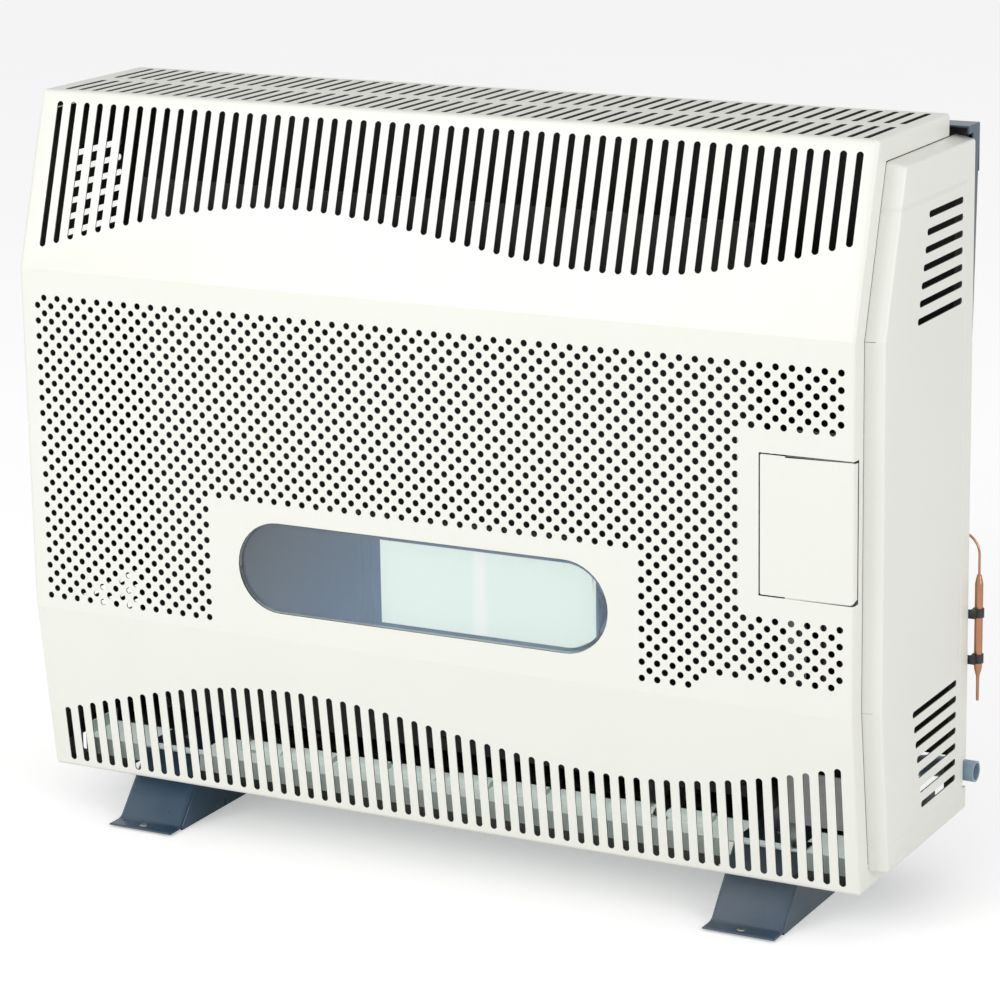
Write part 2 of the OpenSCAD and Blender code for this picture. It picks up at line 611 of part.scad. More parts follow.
// ---------------------------------------------------------------- controls
control_x = door_left + 41;
plate_x = [control_x - 36, control_x + 32];
plate_t = 1.5;
plate_depth = front_depth - plate_setback; // wall to the back of the plate
plate_z = [panel_bottom_z + 30, door_top + 10];
leg_z = 200;
shaft_r = 4;
button_r = 6;
valve_d = plate_depth - 70; // wall to the back of the valve
valve_front = plate_depth - 4;
valve_z = [knob_z - 33, knob_z + 15];
inlet_x = control_x + 10; // gas pipe under the valve
pipe_d = plate_depth - 52;
feed_z = knob_z - 10;    // pipe to the burner, at the valve's side
capillary_at = [control_x - 10, plate_depth - 41];
pilot_at = [control_x - 13, plate_depth - 21];
couple_at = [control_x - 5, plate_depth - 46];
module control_panel() color(steel) difference() {
  union() {
    box(plate_x, [plate_depth, plate_depth + plate_t], plate_z);
    // folded edges, with a leg on each that steps back to the tray
    for (x = [plate_x[0], plate_x[1] - plate_t]) {
      box([x, x + plate_t], [plate_depth - 14, plate_depth + 1], plate_z);
      depth_prism(x, x + plate_t)
        polygon([[plate_depth - 14, leg_z], [plate_depth + 1, leg_z], [plate_depth + 1, plate_z[0]],
          [tray_d[1] - 1.4, tray_z[1]], [tray_d[1] - 21.4, tray_z[1]]]);
    }
    for (x = [plate_x[0], plate_x[1] - 14])
      box([x, x + 14], [tray_d[1] - 21.4, tray_d[1] - 2.4], [tray_z[1], tray_z[1] + plate_t]);
  }
  rod_y(control_x, knob_z, shaft_r + 3, plate_depth - 1, plate_depth + 3);
  rod_y(control_x, button_z, button_r + 2.1, plate_depth - 1, plate_depth + 3);
  box([plate_x[0] + 10, plate_x[1] - 10], [plate_depth - 1, plate_depth + 3], [140, 280]);
}
module gas_valve() color([0.72, 0.73, 0.74]) difference() {
  union() {
    box([control_x - 22, control_x + 22], [valve_d, valve_front], [valve_z[0], valve_z[1]]);
    rod_y(control_x, knob_z, 15, valve_front - 7, plate_depth);
    rod_y(control_x, knob_z, shaft_r + 2.4, valve_front - 2, plate_depth + plate_t);
    // union sockets: gas in, burner feed, thermostat, pilot and thermocouple
    rod_z(inlet_x, pipe_d, inlet_radius + 3.5, valve_z[0] - 12, valve_z[0] + 8);
    rod_x(pipe_d, feed_z, 9, control_x - 28, control_x - 16);
    rod_z(capillary_at[0], capillary_at[1], 7, valve_z[1] - 4, valve_z[1] + 18);
    rod_z(pilot_at[0], pilot_at[1], 5, valve_z[0] - 8, valve_z[0] + 4);
    rod_z(couple_at[0], couple_at[1], 4.5, valve_z[0] - 8, valve_z[0] + 4);
    for (s = [-1, 1]) rod_y(control_x + s * 19, valve_z[1] - 4, 4, valve_front - 4, plate_depth);
  }
  rod_y(control_x, knob_z, shaft_r + 0.05, plate_depth - 20, plate_depth + 3);
  rod_z(inlet_x, pipe_d, inlet_radius + 0.1, valve_z[0] - 14, valve_z[0]);
  rod_x(pipe_d, feed_z, feed_r + 0.05, control_x - 30, control_x - 22);
  rod_z(capillary_at[0], capillary_at[1], cap_r + 0.05, valve_z[1] + 10, valve_z[1] + 20);
  rod_z(pilot_at[0], pilot_at[1], pilot_r + 0.05, valve_z[0] - 10, valve_z[0] - 2);
  rod_z(couple_at[0], couple_at[1], couple_r + 0.05, valve_z[0] - 10, valve_z[0] - 2);
}
module pushed(t) translate([0, t, 0]) children();
knob_d = plate_depth + 9; // back of the knob
module knob_shaft() color(brass_c) pushed(knob_push) {
  rod_y(control_x, knob_z, shaft_r, plate_depth - 13, knob_d + 11);
  rod_y(control_x, knob_z, shaft_r + 0.9, knob_d - 2, knob_d);
}
module control_knob() color([0.13, 0.14, 0.15]) pushed(knob_push)
  translate([control_x, 0, knob_z]) rotate([0, -knob_turn, 0]) translate([-control_x, 0, -knob_z])
  difference() {
    union() {
      rod_y(control_x, knob_z, knob_radius, knob_d, knob_d + 4);
      translate([control_x, Y(knob_d + 4), knob_z]) rotate([90, 0, 0])
        cylinder(r1 = knob_radius - 1.5, r2 = knob_radius - 4, h = 9);
      box([control_x - 3.5, control_x + 3.5], [knob_d + 12, knob_d + 21],
        [knob_z - knob_radius + 5, knob_z + knob_radius - 5]);
      for (a = [0:20:340], g = knob_radius - 2)
        rod_y(control_x + g * cos(a), knob_z + g * sin(a), 1.4, knob_d, knob_d + 8);
    }
    rod_y(control_x, knob_z, shaft_r + 0.05, knob_d - 1, knob_d + 11.1);
    box([control_x - 0.8, control_x + 0.8], [knob_d + 20, knob_d + 22], [knob_z + 4, knob_z + knob_radius]);
  }
button_front = plate_depth + 11;
module igniter_body() color([0.85, 0.85, 0.83]) difference() {
  union() {
    rod_y(control_x, button_z, button_r + 2, plate_depth - 26, plate_depth + plate_t);
    rod_y(control_x, button_z, button_r + 6, plate_depth + plate_t, plate_depth + 4);
    translate([control_x, Y(plate_depth - 5), button_z]) rotate([90, 0, 0])
      cylinder(r = button_r + 6, h = 5, $fn = 6);
    rod_y(control_x, button_z, 3, plate_depth - 34, plate_depth - 25);
  }
  rod_y(control_x, button_z, button_r + 0.05, plate_depth - 12, plate_depth + 5);
  rod_y(control_x, button_z, lead_r + 0.05, plate_depth - 35, plate_depth - 32);
}
module igniter_button() color([0.7, 0.12, 0.1]) pushed(button_push) {
  rod_y(control_x, button_z, button_r, plate_depth - 6, button_front);
  translate([control_x, Y(button_front), button_z]) rotate([90, 0, 0])
    cylinder(r1 = button_r, r2 = button_r - 0.8, h = 0.8);
}

// ---------------------------------------------------------------- thermostat sensor
bulb_x = panel_x + 6.2;
bulb_d = bulb_radius + 2.5;
clip_z = [bulb_low + 12.6, bulb_low + 54.5];
clip_screw_x = hw - 20;
bulb_high = bulb_low + bulb_length;
cap_r = 1.1;
module thermostat_bulb() color(copper_c) translate([bulb_x, Y(bulb_d), 0]) difference() {
  rotate_extrude() polygon([[0, bulb_low - 27], [1.3, bulb_low - 26], [1.5, bulb_low - 4],
    [bulb_radius - 0.6, bulb_low + 2], [bulb_radius, bulb_low + 6], [bulb_radius, bulb_high - 8],
    [bulb_radius - 1, bulb_high - 3], [cap_r + 0.9, bulb_high], [0, bulb_high]]);
  translate([0, 0, bulb_high - 4]) cylinder(r = cap_r, h = 5);
}
cap_x = inlet_x + 3;
cap_z = bulb_high + 38;
cap_high = valve_z[1] + 40;
cap_path = [[capillary_at[0], capillary_at[1], valve_z[1] + 10], [capillary_at[0], capillary_at[1], cap_high],
  [capillary_at[0], 40, cap_high], [cap_x, 40, cap_high], [cap_x, 40, cap_z],
  [cap_x, bulb_d, cap_z], [bulb_x, bulb_d, cap_z], [bulb_x, bulb_d, bulb_high - 4]];
module capillary() color(copper_c) run(cap_path, cap_r, [0, 8, 5, 5, 8, 8, 20, 0]);
module bulb_clips() color([0.1, 0.1, 0.11]) for (z = clip_z) difference() {
  h = [z - 4, z + 4];
  union() {
    rod_z(bulb_x, bulb_d, bulb_radius + 1.2, h[0], h[1]);
    box([clip_screw_x - 8, bulb_x], [back_d[0] - 1.6, back_d[0]], h);
    box([bulb_x - bulb_radius - 1, bulb_x], [bulb_d, back_d[0]], h);
  }
  rod_z(bulb_x, bulb_d, bulb_radius, h[0] - 1, h[1] + 1);
  rod_y(clip_screw_x, z, 1.6, 0, 20);
}

// ---------------------------------------------------------------- gas train
chamber_room = [110, 130];   // cover's side to the chamber, left and right
chamber_x = [chamber_room[0] - hw, hw - chamber_room[1]];
chamber_d = [40, front_depth - 64];
chamber_z = [120, cover_top_z - 93];
chamber_sheet = 2;
inlet_end = panel_x + 8;
inlet_bore = inlet_radius - 2;
inlet_path = [[inlet_end, inlet_depth, inlet_z], [inlet_x, inlet_depth, inlet_z],
  [inlet_x, pipe_d, inlet_z], [inlet_x, pipe_d, valve_z[0]]];
module inlet_pipe() color([0.55, 0.62, 0.68]) difference() {
  run(inlet_path, inlet_radius, 24);
  run(inlet_path, inlet_bore, 24);
  rod_x(inlet_depth, inlet_z, inlet_bore, inlet_end - 20, inlet_end + 1);
  rod_z(inlet_x, pipe_d, inlet_bore, valve_z[0] - 40, valve_z[0] + 1);
}
module hex_z(x, d, r, z0, z1) translate([x, Y(d), z0]) cylinder(r = r, h = z1 - z0, $fn = 6);
module inlet_nut() color(brass_c) difference() {
  hex_z(inlet_x, pipe_d, inlet_radius + 5.5, valve_z[0] - 32, valve_z[0] - 12);
  rod_z(inlet_x, pipe_d, inlet_radius + 0.05, valve_z[0] - 34, valve_z[0] - 10);
}
burner_d = (chamber_d[0] + chamber_d[1]) / 2;
burner_z = 165;
burner_r = 14;
burner_x = [chamber_x[0] + 42, chamber_x[1] + 12];
feed_r = 4;
feed_x = burner_x[1] + 30;
module manifold_pipe() color([0.78, 0.8, 0.82])
  run([[control_x - 22, pipe_d, feed_z], [feed_x, pipe_d, feed_z], [feed_x, pipe_d, burner_z],
       [feed_x, burner_d, burner_z], [burner_x[1] + 20, burner_d, burner_z]], feed_r, 9);
module injector() color(brass_c) difference() {
  union() {
    translate([burner_x[1] + 10, Y(burner_d), burner_z]) rotate([0, 90, 0]) cylinder(r = 8, h = 10, $fn = 6);
    rod_x(burner_d, burner_z, 4.5, burner_x[1] + 3, burner_x[1] + 11);
  }
  rod_x(burner_d, burner_z, 1, burner_x[1] + 2, burner_x[1] + 21);
}
burner_leg_x = [burner_x[0] + 28, burner_x[1] - 92];
module burner_tube() color([0.5, 0.5, 0.52]) difference() {
  floor_z = chamber_z[0] + chamber_sheet;
  union() {
    rod_x(burner_d, burner_z, burner_r, burner_x[0], burner_x[1]);
    rod_x(burner_d, burner_z, burner_r + 3, burner_x[1] - 10, burner_x[1]);
    for (x = burner_leg_x) {
      box([x, x + 2], [burner_d - 16, burner_d + 16], [floor_z, burner_z]);
      box([x, x + 16], [burner_d - 16, burner_d + 16], [floor_z, floor_z + 1.5]);
    }
  }
  rod_x(burner_d, burner_z, burner_r - 1.4, burner_x[0] + 1.4, burner_x[1] + 1);
  for (x = [burner_x[0] + 14:9:burner_x[1] - 102])
    box([x, x + 3], [burner_d - 8, burner_d + 8], [burner_z + 6, burner_z + 20]);
}
pilot_x = chamber_x[1] - 48;
pilot_d = burner_d + 38;
pilot_r = 2;
couple_r = 1.2;
lead_r = 1.5;
lead_x = control_x - 16;
spark_x = pilot_x - 14;
couple_x = pilot_x + 13;
module pilot_burner() color([0.6, 0.6, 0.6]) difference() {
  shelf = [burner_z - 8, burner_z - 6];
  union() {
    rod_z(pilot_x, pilot_d, 5, burner_z - 12, burner_z + 8);
    box([pilot_x - 7, pilot_x + 7], [pilot_d - 6, pilot_d + 7], [burner_z + 8, burner_z + 9.5]);
    box([pilot_x - 24, pilot_x + 20], [pilot_d - 6, pilot_d + 6], shelf);
    box([pilot_x - 24, pilot_x - 22], [pilot_d - 6, pilot_d + 6],
      [chamber_z[0] + chamber_sheet, burner_z - 6]);
  }
  rod_z(spark_x, pilot_d, 3.1, burner_z - 12, burner_z);
  rod_z(couple_x, pilot_d, 2.1, burner_z - 12, burner_z);
  rod_z(pilot_x, pilot_d, pilot_r + 0.05, burner_z - 13, burner_z - 5);
  rod_z(pilot_x, pilot_d, 1.5, burner_z - 6, burner_z + 5);
  rod_y(pilot_x, burner_z + 4, 2.5, pilot_d - 8, pilot_d);
}
// heights of the pilot pipe, the thermocouple lead and the ignition lead where
// they pass through the chamber's side
pass_z = [burner_z - 25, burner_z - 37, burner_z - 31];
pass_d = [pilot_d, pilot_d - 10, pilot_d - 18];
module pilot_pipe() color(copper_c)
  run([[pilot_at[0], pilot_at[1], valve_z[0] - 2], [pilot_at[0], pilot_at[1], pass_z[0]],
       [pilot_at[0], pass_d[0], pass_z[0]], [pilot_x, pass_d[0], pass_z[0]],
       [pilot_x, pass_d[0], burner_z - 5]], pilot_r, 7);
module thermocouple() color(copper_c) {
  run([[couple_at[0], couple_at[1], valve_z[0] - 2], [couple_at[0], couple_at[1], pass_z[1]],
       [couple_at[0], pass_d[1], pass_z[1]], [couple_x, pass_d[1], pass_z[1]],
       [couple_x, pass_d[1], burner_z - 14], [couple_x, pilot_d, burner_z - 14]], couple_r, 4.5);
  rod_z(couple_x, pilot_d, 2, burner_z - 16, burner_z + 14);
}
module spark_electrode() color([0.93, 0.92, 0.88]) difference() {
  union() {
    rod_z(spark_x, pilot_d, 3, burner_z - 23, burner_z + 6);
    rod_z(spark_x, pilot_d, 4.4, burner_z - 15, burner_z - 8);
    rod_z(spark_x, pilot_d, 0.9, burner_z + 5, burner_z + 14);
  }
  rod_z(spark_x, pilot_d, lead_r + 0.05, burner_z - 24, burner_z - 20);
}
module ignition_lead() color([0.8, 0.8, 0.78])
  run([[control_x, plate_depth - 32, button_z], [control_x, plate_depth - 37, button_z],
       [lead_x, plate_depth - 37, button_z], [lead_x, plate_depth - 37, pass_z[2]],
       [lead_x, pass_d[2], pass_z[2]],
       [spark_x, pass_d[2], pass_z[2]], [spark_x, pilot_d, pass_z[2]],
       [spark_x, pilot_d, burner_z - 20]], lead_r, 4);

// ---------------------------------------------------------------- combustion chamber
chamber_rim = 15;
chamber_slant = 60;
gasket_t = 2;
front_plate_d = [chamber_d[1] + gasket_t, chamber_d[1] + gasket_t + 2];
chamber_screw_r = 2.5;
module chamber_outline(m) translate([chamber_x[0] - m, chamber_z[0] - m])
  square([chamber_x[1] - chamber_x[0] + 2 * m, chamber_z[1] - chamber_z[0] + 2 * m]);
module chamber_side(m) {
  front = chamber_d[1] + (m > 0 ? 1 : 0);
  polygon([[chamber_d[0] + m, chamber_z[0] + m], [front, chamber_z[0] + m], [front, chamber_z[1] - m],
    [chamber_d[0] + chamber_slant + m * 0.4, chamber_z[1] - m],
    [chamber_d[0] + m, chamber_z[1] - chamber_slant - m * 0.4]]);
}
screw_x = [chamber_x[0] - 7.5, -160, -10, 140, chamber_x[1] + 7.5];
screw_spots = concat(
  [for (x = screw_x, z = [chamber_z[0] - 7.5, chamber_z[1] + 7.5]) [x, z]],
  [for (x = [screw_x[0], screw_x[4]], z = [240, 360, 480]) [x, z]]);
module combustion_chamber() color([0.3, 0.31, 0.32]) difference() {
  side = [chamber_x[1] - 4, chamber_x[1] + 1];
  union() {
    difference() {
      depth_prism(chamber_x[0], chamber_x[1]) chamber_side(0);
      depth_prism(chamber_x[0] + chamber_sheet, chamber_x[1] - chamber_sheet) chamber_side(chamber_sheet);
    }
    face_plate(chamber_d[1] - chamber_sheet, chamber_d[1]) difference() {
      chamber_outline(chamber_rim);
      chamber_outline(-chamber_sheet);
    }
  }
  rod_y(0, flue_z, flue_inner_radius + 0.05, chamber_d[0] - 1, chamber_d[0] + 4);
  box([-60, 60], [chamber_d[0] - 1, chamber_d[0] + 4], [150, 200]);
  rod_x(burner_d, burner_z, burner_r + 0.1, side[0], side[1]);
  rod_x(pass_d[0], pass_z[0], pilot_r + 0.05, side[0], side[1]);
  rod_x(pass_d[1], pass_z[1], couple_r + 0.05, side[0], side[1]);
  rod_x(pass_d[2], pass_z[2], lead_r + 0.05, side[0], side[1]);
  for (p = screw_spots) rod_y(p[0], p[1], chamber_screw_r + 0.1, chamber_d[1] - 4, chamber_d[1] + 1);
}
sight_w = 300;
sight_h = 56;
rib_pitch = 30;
rib_r = 4;
module sight_opening(m) translate([0, window_z]) stadium(sight_w + 2 * m, sight_h + 2 * m);
module chamber_front() color([0.27, 0.28, 0.29]) difference() {
  union() {
    face_plate(front_plate_d[0], front_plate_d[1]) chamber_outline(chamber_rim);
    // pressed ribs above the sight glass
    for (z = [window_z + 85:rib_pitch:chamber_z[1] - 30]) rod_x(front_plate_d[1], z, rib_r, -270, 250);
  }
  face_plate(front_plate_d[0] - 12, front_plate_d[0]) chamber_outline(chamber_rim + 5);
  face_plate(front_plate_d[0] - 1, front_plate_d[1] + 2) sight_opening(0);
  for (p = screw_spots) rod_y(p[0], p[1], chamber_screw_r + 0.1, front_plate_d[0] - 1, front_plate_d[1] + 2);
}
module chamber_gasket() color([0.85, 0.84, 0.8]) face_plate(chamber_d[1], front_plate_d[0]) difference() {
  chamber_outline(chamber_rim);
  chamber_outline(-chamber_sheet);
  for (p = screw_spots) translate(p) circle(r = chamber_screw_r + 0.1);
}
module chamber_screws() color(steel) for (p = screw_spots) {
  translate([p[0], Y(front_plate_d[1]), p[1]]) rotate([90, 0, 0]) cylinder(r = 5, h = 3.2, $fn = 6);
  rod_y(p[0], p[1], chamber_screw_r, chamber_d[1] - 10, front_plate_d[1] + 1);
}
stand_d = [60, chamber_d[1] - 16];
module chamber_stands() color(steel) for (x = [chamber_x[0] + 60, chamber_x[1] - 100]) {
  box([x, x + 2], stand_d, [tray_z[1], chamber_z[0]]);
  box([x, x + 22], stand_d, [tray_z[1], tray_z[1] + 2]);
  box([x, x + 22], stand_d, [chamber_z[0] - 2, chamber_z[0]]);
}
baffle_z = 400;
module chamber_baffle() color([0.5, 0.5, 0.5]) {
  x = [chamber_x[0] + chamber_sheet, chamber_x[1] - chamber_sheet];
  d = [80, chamber_d[1] - 16];
  box(x, d, [baffle_z, baffle_z + 1.5]);
  box(x, [d[0], d[0] + 1.5], [baffle_z, baffle_z + 12]);
  box(x, [d[1] - 1.5, d[1]], [baffle_z - 10, baffle_z + 1.5]);
}
sight_glass_t = 4;
module sight_glass() color([0.8, 0.8, 0.72, 0.4])
  face_plate(front_plate_d[1], front_plate_d[1] + sight_glass_t) sight_opening(8);
module sight_frame() color(steel) difference() {
  d = front_plate_d[1];
  face_plate(d, d + sight_glass_t + 2) sight_opening(18);
  face_plate(d - 1, d + sight_glass_t) sight_opening(8.2);
  face_plate(d - 1, d + sight_glass_t + 3) sight_opening(2);
  for (x = [-130, 0, 130], s = [-1, 1])
    rod_y(x, window_z + s * (sight_h / 2 + 13), 1.6, d - 1, d + sight_glass_t + 3);
}

// ---------------------------------------------------------------- flue
collar_t = 1.5;
collar_front = back_d[1] + 2;
module ring_y(z, ro, ri, d0, d1) difference() {
  rod_y(0, z, ro, d0, d1);
  rod_y(0, z, ri, d0 - 1, d1 + 1);
}
module flue_spigot() color([0.7, 0.71, 0.72]) {
  ring_y(flue_z, flue_inner_radius, flue_inner_radius - collar_t, -flue_length, chamber_d[0] + 4);
  ring_y(flue_z, flue_inner_radius + 14, flue_inner_radius - 0.5, chamber_d[0] - 3, chamber_d[0]);
}
module intake_collar() color([0.7, 0.71, 0.72]) {
  ring_y(flue_z, flue_outer_radius, flue_outer_radius - collar_t, -flue_length, collar_front);
  // thicker root, against which the outside sleeve stops
  ring_y(flue_z, flue_outer_radius + collar_step, flue_outer_radius - 0.5, back_d[0] - 3, collar_front);
  ring_y(flue_z, flue_outer_radius + 15, flue_outer_radius - 0.5, back_d[1], collar_front);
}
duct_x = flue_outer_radius + 30;
duct_z = [135, flue_z + 92];
duct_sheet = 1.2;
module air_duct() color(steel) difference() {
  t = duct_sheet;
  box([-duct_x, duct_x], [collar_front, chamber_d[0]], duct_z);
  box([t - duct_x, duct_x - t], [collar_front + t, chamber_d[0] + 1], [duct_z[0] + t, duct_z[1] - t]);
  rod_y(0, flue_z, flue_outer_radius - collar_t - 0.1, collar_front - 1, collar_front + 3);
}

// ---------------------------------------------------------------- build
front_cover();
side_panel_left();
side_panel_right();
back_panel();
wall_bracket();
base_tray();
foot_left();
foot_right();
foot_screws();
cover_screws();
panel_screws();
window_glass();
window_mask();
window_diffuser();
window_retainer();
window_nuts();
control_door();
door_hinge_bracket();
door_hinge_rod();
door_catch();
control_panel();
gas_valve();
knob_shaft();
control_knob();
igniter_body();
igniter_button();
thermostat_bulb();
capillary();
bulb_clips();
inlet_pipe();
inlet_nut();
manifold_pipe();
injector();
burner_tube();
pilot_burner();
pilot_pipe();
thermocouple();
spark_electrode();
ignition_lead();
combustion_chamber();
chamber_front();
chamber_gasket();
chamber_screws();
chamber_stands();
chamber_baffle();
sight_glass();
sight_frame();
flue_spigot();
intake_collar();
air_duct();
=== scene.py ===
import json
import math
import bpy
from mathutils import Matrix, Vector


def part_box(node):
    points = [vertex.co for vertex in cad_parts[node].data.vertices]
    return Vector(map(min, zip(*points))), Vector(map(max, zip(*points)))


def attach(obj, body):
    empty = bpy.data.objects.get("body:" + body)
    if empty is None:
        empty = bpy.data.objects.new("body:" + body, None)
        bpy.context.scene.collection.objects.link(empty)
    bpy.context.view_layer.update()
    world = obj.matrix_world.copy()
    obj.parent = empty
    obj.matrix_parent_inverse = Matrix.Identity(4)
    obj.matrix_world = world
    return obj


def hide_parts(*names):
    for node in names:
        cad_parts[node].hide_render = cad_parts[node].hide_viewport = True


bl_info = {
    "name": "Wall mounted gas heater",
    "version": (1, 0, 0),
    "blender": (4, 5, 0),
    "location": "View3D > Sidebar > Heater",
    "description": "Dresses the packed heater: perforated cover, side pans, finishes, lights and camera",
    "category": "Object",
}

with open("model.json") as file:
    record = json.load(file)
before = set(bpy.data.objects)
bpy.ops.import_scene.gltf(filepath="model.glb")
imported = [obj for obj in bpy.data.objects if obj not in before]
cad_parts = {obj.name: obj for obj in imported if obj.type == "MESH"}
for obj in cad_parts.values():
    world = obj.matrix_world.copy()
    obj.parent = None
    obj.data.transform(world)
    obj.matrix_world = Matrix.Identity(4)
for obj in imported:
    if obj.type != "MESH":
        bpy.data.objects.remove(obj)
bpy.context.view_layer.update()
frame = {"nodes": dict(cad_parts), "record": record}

import bmesh
import bpy
from bpy.props import FloatProperty, FloatVectorProperty, IntProperty, PointerProperty
from mathutils import Matrix, Vector

COVER_LOW, COVER_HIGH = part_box("front_cover")
PAN_LOW, PAN_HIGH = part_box("side_panel_right")
FRONT_Y = COVER_LOW[1]                 # plane of the flat middle face
HALF_WIDTH = COVER_HIGH[0]


def length(name, text, value, **more):
    return FloatProperty(name=name, description=text, default=value, unit="LENGTH", precision=4, **more)


def colour(name, text, value):
    return FloatVectorProperty(name=name, description=text, default=value, subtype="COLOR", size=3, min=0, max=1)


# ------------------------------------------------------------------ settings
class HEATER_PG_cover(bpy.types.PropertyGroup):
    """Sizes of the folded front cover."""
    upper_fold: length("Upper fold", "Height of the upper fold", 0.5295)
    lower_fold: length("Lower fold", "Height of the lower fold", 0.2085)
    top_setback: length("Top setback", "Middle face back to the top fold", 0.0494)
    bottom_setback: length("Bottom setback", "Middle face back to the bottom fold", 0.020)
    bottom_return: length("Bottom return", "Depth of the return along the bottom", 0.044)
    flange: length("Side return", "Width of the return down each side", 0.019)
    fold_radius: length("Fold radius", "Outer radius of the folds", 0.004)
    side_radius: length("Side radius", "Outer radius of the side bends", 0.003)
    sheet: length("Sheet", "Thickness of the cover", 0.0012)


class HEATER_PG_holes(bpy.types.PropertyGroup):
    """Sizes of the perforation."""
    pitch: length("Pitch", "Distance between two columns of slots", 0.0145)
    columns: IntProperty(name="Columns", description="Columns of slots", default=55, min=2)
    shift: length("Shift", "Middle of the pattern to the right of the cover's middle", 0.0029)
    slot_width: length("Slot width", "Width of the slots in the sloped faces", 0.0062)
    vent_width: length("Vent width", "Width of the vents in the top", 0.0056)
    hole_radius: length("Hole radius", "Radius of the round holes", 0.0030)
    first_row: length("First row", "Upper fold to the first row of holes", 0.0261)
    rows: IntProperty(name="Rows", description="Rows of round holes", default=40, min=1)
    wave_base: length("Wave height", "Where the upper slots stop, above the fold", 0.0538)
    wave_tilt: FloatProperty(name="Wave tilt", description="Rise of the wave towards the right", default=0.0671)
    wave_sine: length("Wave sine", "Sine part of the wave", -0.0275)
    wave_cosine: length("Wave cosine", "Cosine part of the wave", 0.0058)
    wave_gap: length("Wave gap", "Lower wave follows the upper at this distance", 0.1225)


WALL_Y = -PAN_HIGH[1] - 0.016          # minus the wall's place, so that depths count from it


class HEATER_PG_pans(bpy.types.PropertyGroup):
    """Sizes of the side pans. Depths are places before the plane Y = 0."""
    seam: length("Seam", "Cover's line to the pan's edge", 0.0198)
    bevel: length("Bevel", "Fall of the front strip towards the outside", 0.003)
    slit: FloatProperty(name="Slit", description="Share of the strip that is slit at each fold", default=0.65)
    edge_radius: length("Edge radius", "Radius of the outer edge", 0.003)
    slot_count: IntProperty(name="Slots", description="Slots in each group", default=7, min=2)
    slot_pitch: length("Slot pitch", "Distance between two slots", 0.0145)
    slot_width: length("Slot width", "Width of a slot", 0.0058)
    slot_rear: length("Slot rear", "Place of their rear ends", WALL_Y + 0.043)
    upper_slots_z: length("Upper slots", "Height of the highest upper slot", 0.616)
    lower_slots_z: length("Lower slots", "Height of the highest lower slot", 0.188)
    upper_front: length("Upper front end", "Place of the highest upper slot's front end", WALL_Y + 0.1222)
    lower_front: length("Lower front end", "Place of the highest lower slot's front end", WALL_Y + 0.1471)
    upper_growth: length("Upper growth", "Each upper slot is longer than the one above by", 0.0039)
    lower_growth: length("Lower growth", "Each lower slot is shorter than the one above by", 0.0038)
    press_y: length("Press line", "Rear edge of the pressed field", -WALL_Y - 0.033)
    press_low: length("Press low", "Lower edge of the pressed field", 0.086)
    press_high: length("Press high", "Upper edge of the pressed field", 0.632)
    press_depth: length("Press depth", "Depth of the pressed field", 0.0012)
    inlet_z: length("Inlet height", "Height of the gas inlet", 0.097)
    inlet_room: length("Inlet room", "Half height of the inlet's notch", 0.013)


class HEATER_PG_feet(bpy.types.PropertyGroup):
    """Sizes of the pressed feet."""
    sheet: length("Sheet", "Thickness of the feet", 0.002)
    toe: length("Toe", "Length of the flat toe", 0.017)
    lean: length("Lean", "Distance that the shin leans back", 0.0508)
    instep: length("Instep", "Radius between toe and shin", 0.009)
    edge: length("Edge", "Radius of the side edges", 0.0045)


class HEATER_PG_tray(bpy.types.PropertyGroup):
    """Sizes of the tray's pale strip, which carries painted light with painted shade behind it, and of the louvres.
    """
    rim: length("Rim", "Height of the tray's rim above its floor", 0.012)
    pale: length("Pale strip", "Width of the pale strip along the tray's front", 0.050)
    pitch: length("Louvre pitch", "Distance between louvres along a row", 0.055)
    row: length("Row pitch", "Distance between rows of louvres", 0.040)
    back: length("Rear row", "Rear edge of the tray to the first row", 0.054)
    across: length("Louvre width", "Width of a louvre", 0.043)
    reach: length("Louvre reach", "Front to rear of a louvre", 0.018)
    rise: length("Louvre rise", "Height of a louvre", 0.0055)
    louvre_sheet: length("Louvre sheet", "Thickness of a louvre", 0.0006)


class HEATER_PG_colours(bpy.types.PropertyGroup):
    """Colours of the finishes."""
    cream: colour("Cream enamel", "Cover and side panels", (0.875, 0.880, 0.815))
    navy: colour("Slate enamel", "Feet and wall bracket", (0.024, 0.062, 0.112))
    print_tint: colour("Window print", "Fired print behind the glass", (0.105, 0.160, 0.235))
    mint: colour("Clear part", "Etched part of the window", (0.865, 0.965, 0.935))
    copper: colour("Copper", "Sensor and small pipes", (0.62, 0.27, 0.14))
    steel: colour("Steel", "Chassis sheet", (0.52, 0.53, 0.54))


# ------------------------------------------------------------------ node helpers
def feed(tree, sockets, values):
    """Links or sets inputs. values maps an input's name or number to a socket or a value."""
    for key, value in values.items():
        if isinstance(value, bpy.types.NodeSocket):
            tree.links.new(value, sockets[key])
        else:
            sockets[key].default_value = value


def add_node(tree, kind, inputs=None, **settings):
    n = tree.nodes.new(kind)
    for key, value in settings.items():
        setattr(n, key, value)
    feed(tree, n.inputs, inputs or {})
    return n


def geo(tree, kind, inputs=None, **settings):
    """Adds one geometry node and gives its first output."""
    return add_node(tree, "GeometryNode" + kind, inputs, **settings).outputs[0]


def maths(tree, name, *values):
    return add_node(tree, "ShaderNodeMath", dict(enumerate(values)), operation=name).outputs[0]


def operation(name):
    """A helper for one of the maths node's operations."""
    return lambda tree, *values: maths(tree, name, *values)


mul, add, sub = operation("MULTIPLY"), operation("ADD"), operation("SUBTRACT")
above, below = operation("GREATER_THAN"), operation("LESS_THAN")


def split(tree, vector):
    return add_node(tree, "ShaderNodeSeparateXYZ", {0: vector}).outputs


def xyz(tree, *values):
    return add_node(tree, "ShaderNodeCombineXYZ", dict(enumerate(values))).outputs[0]


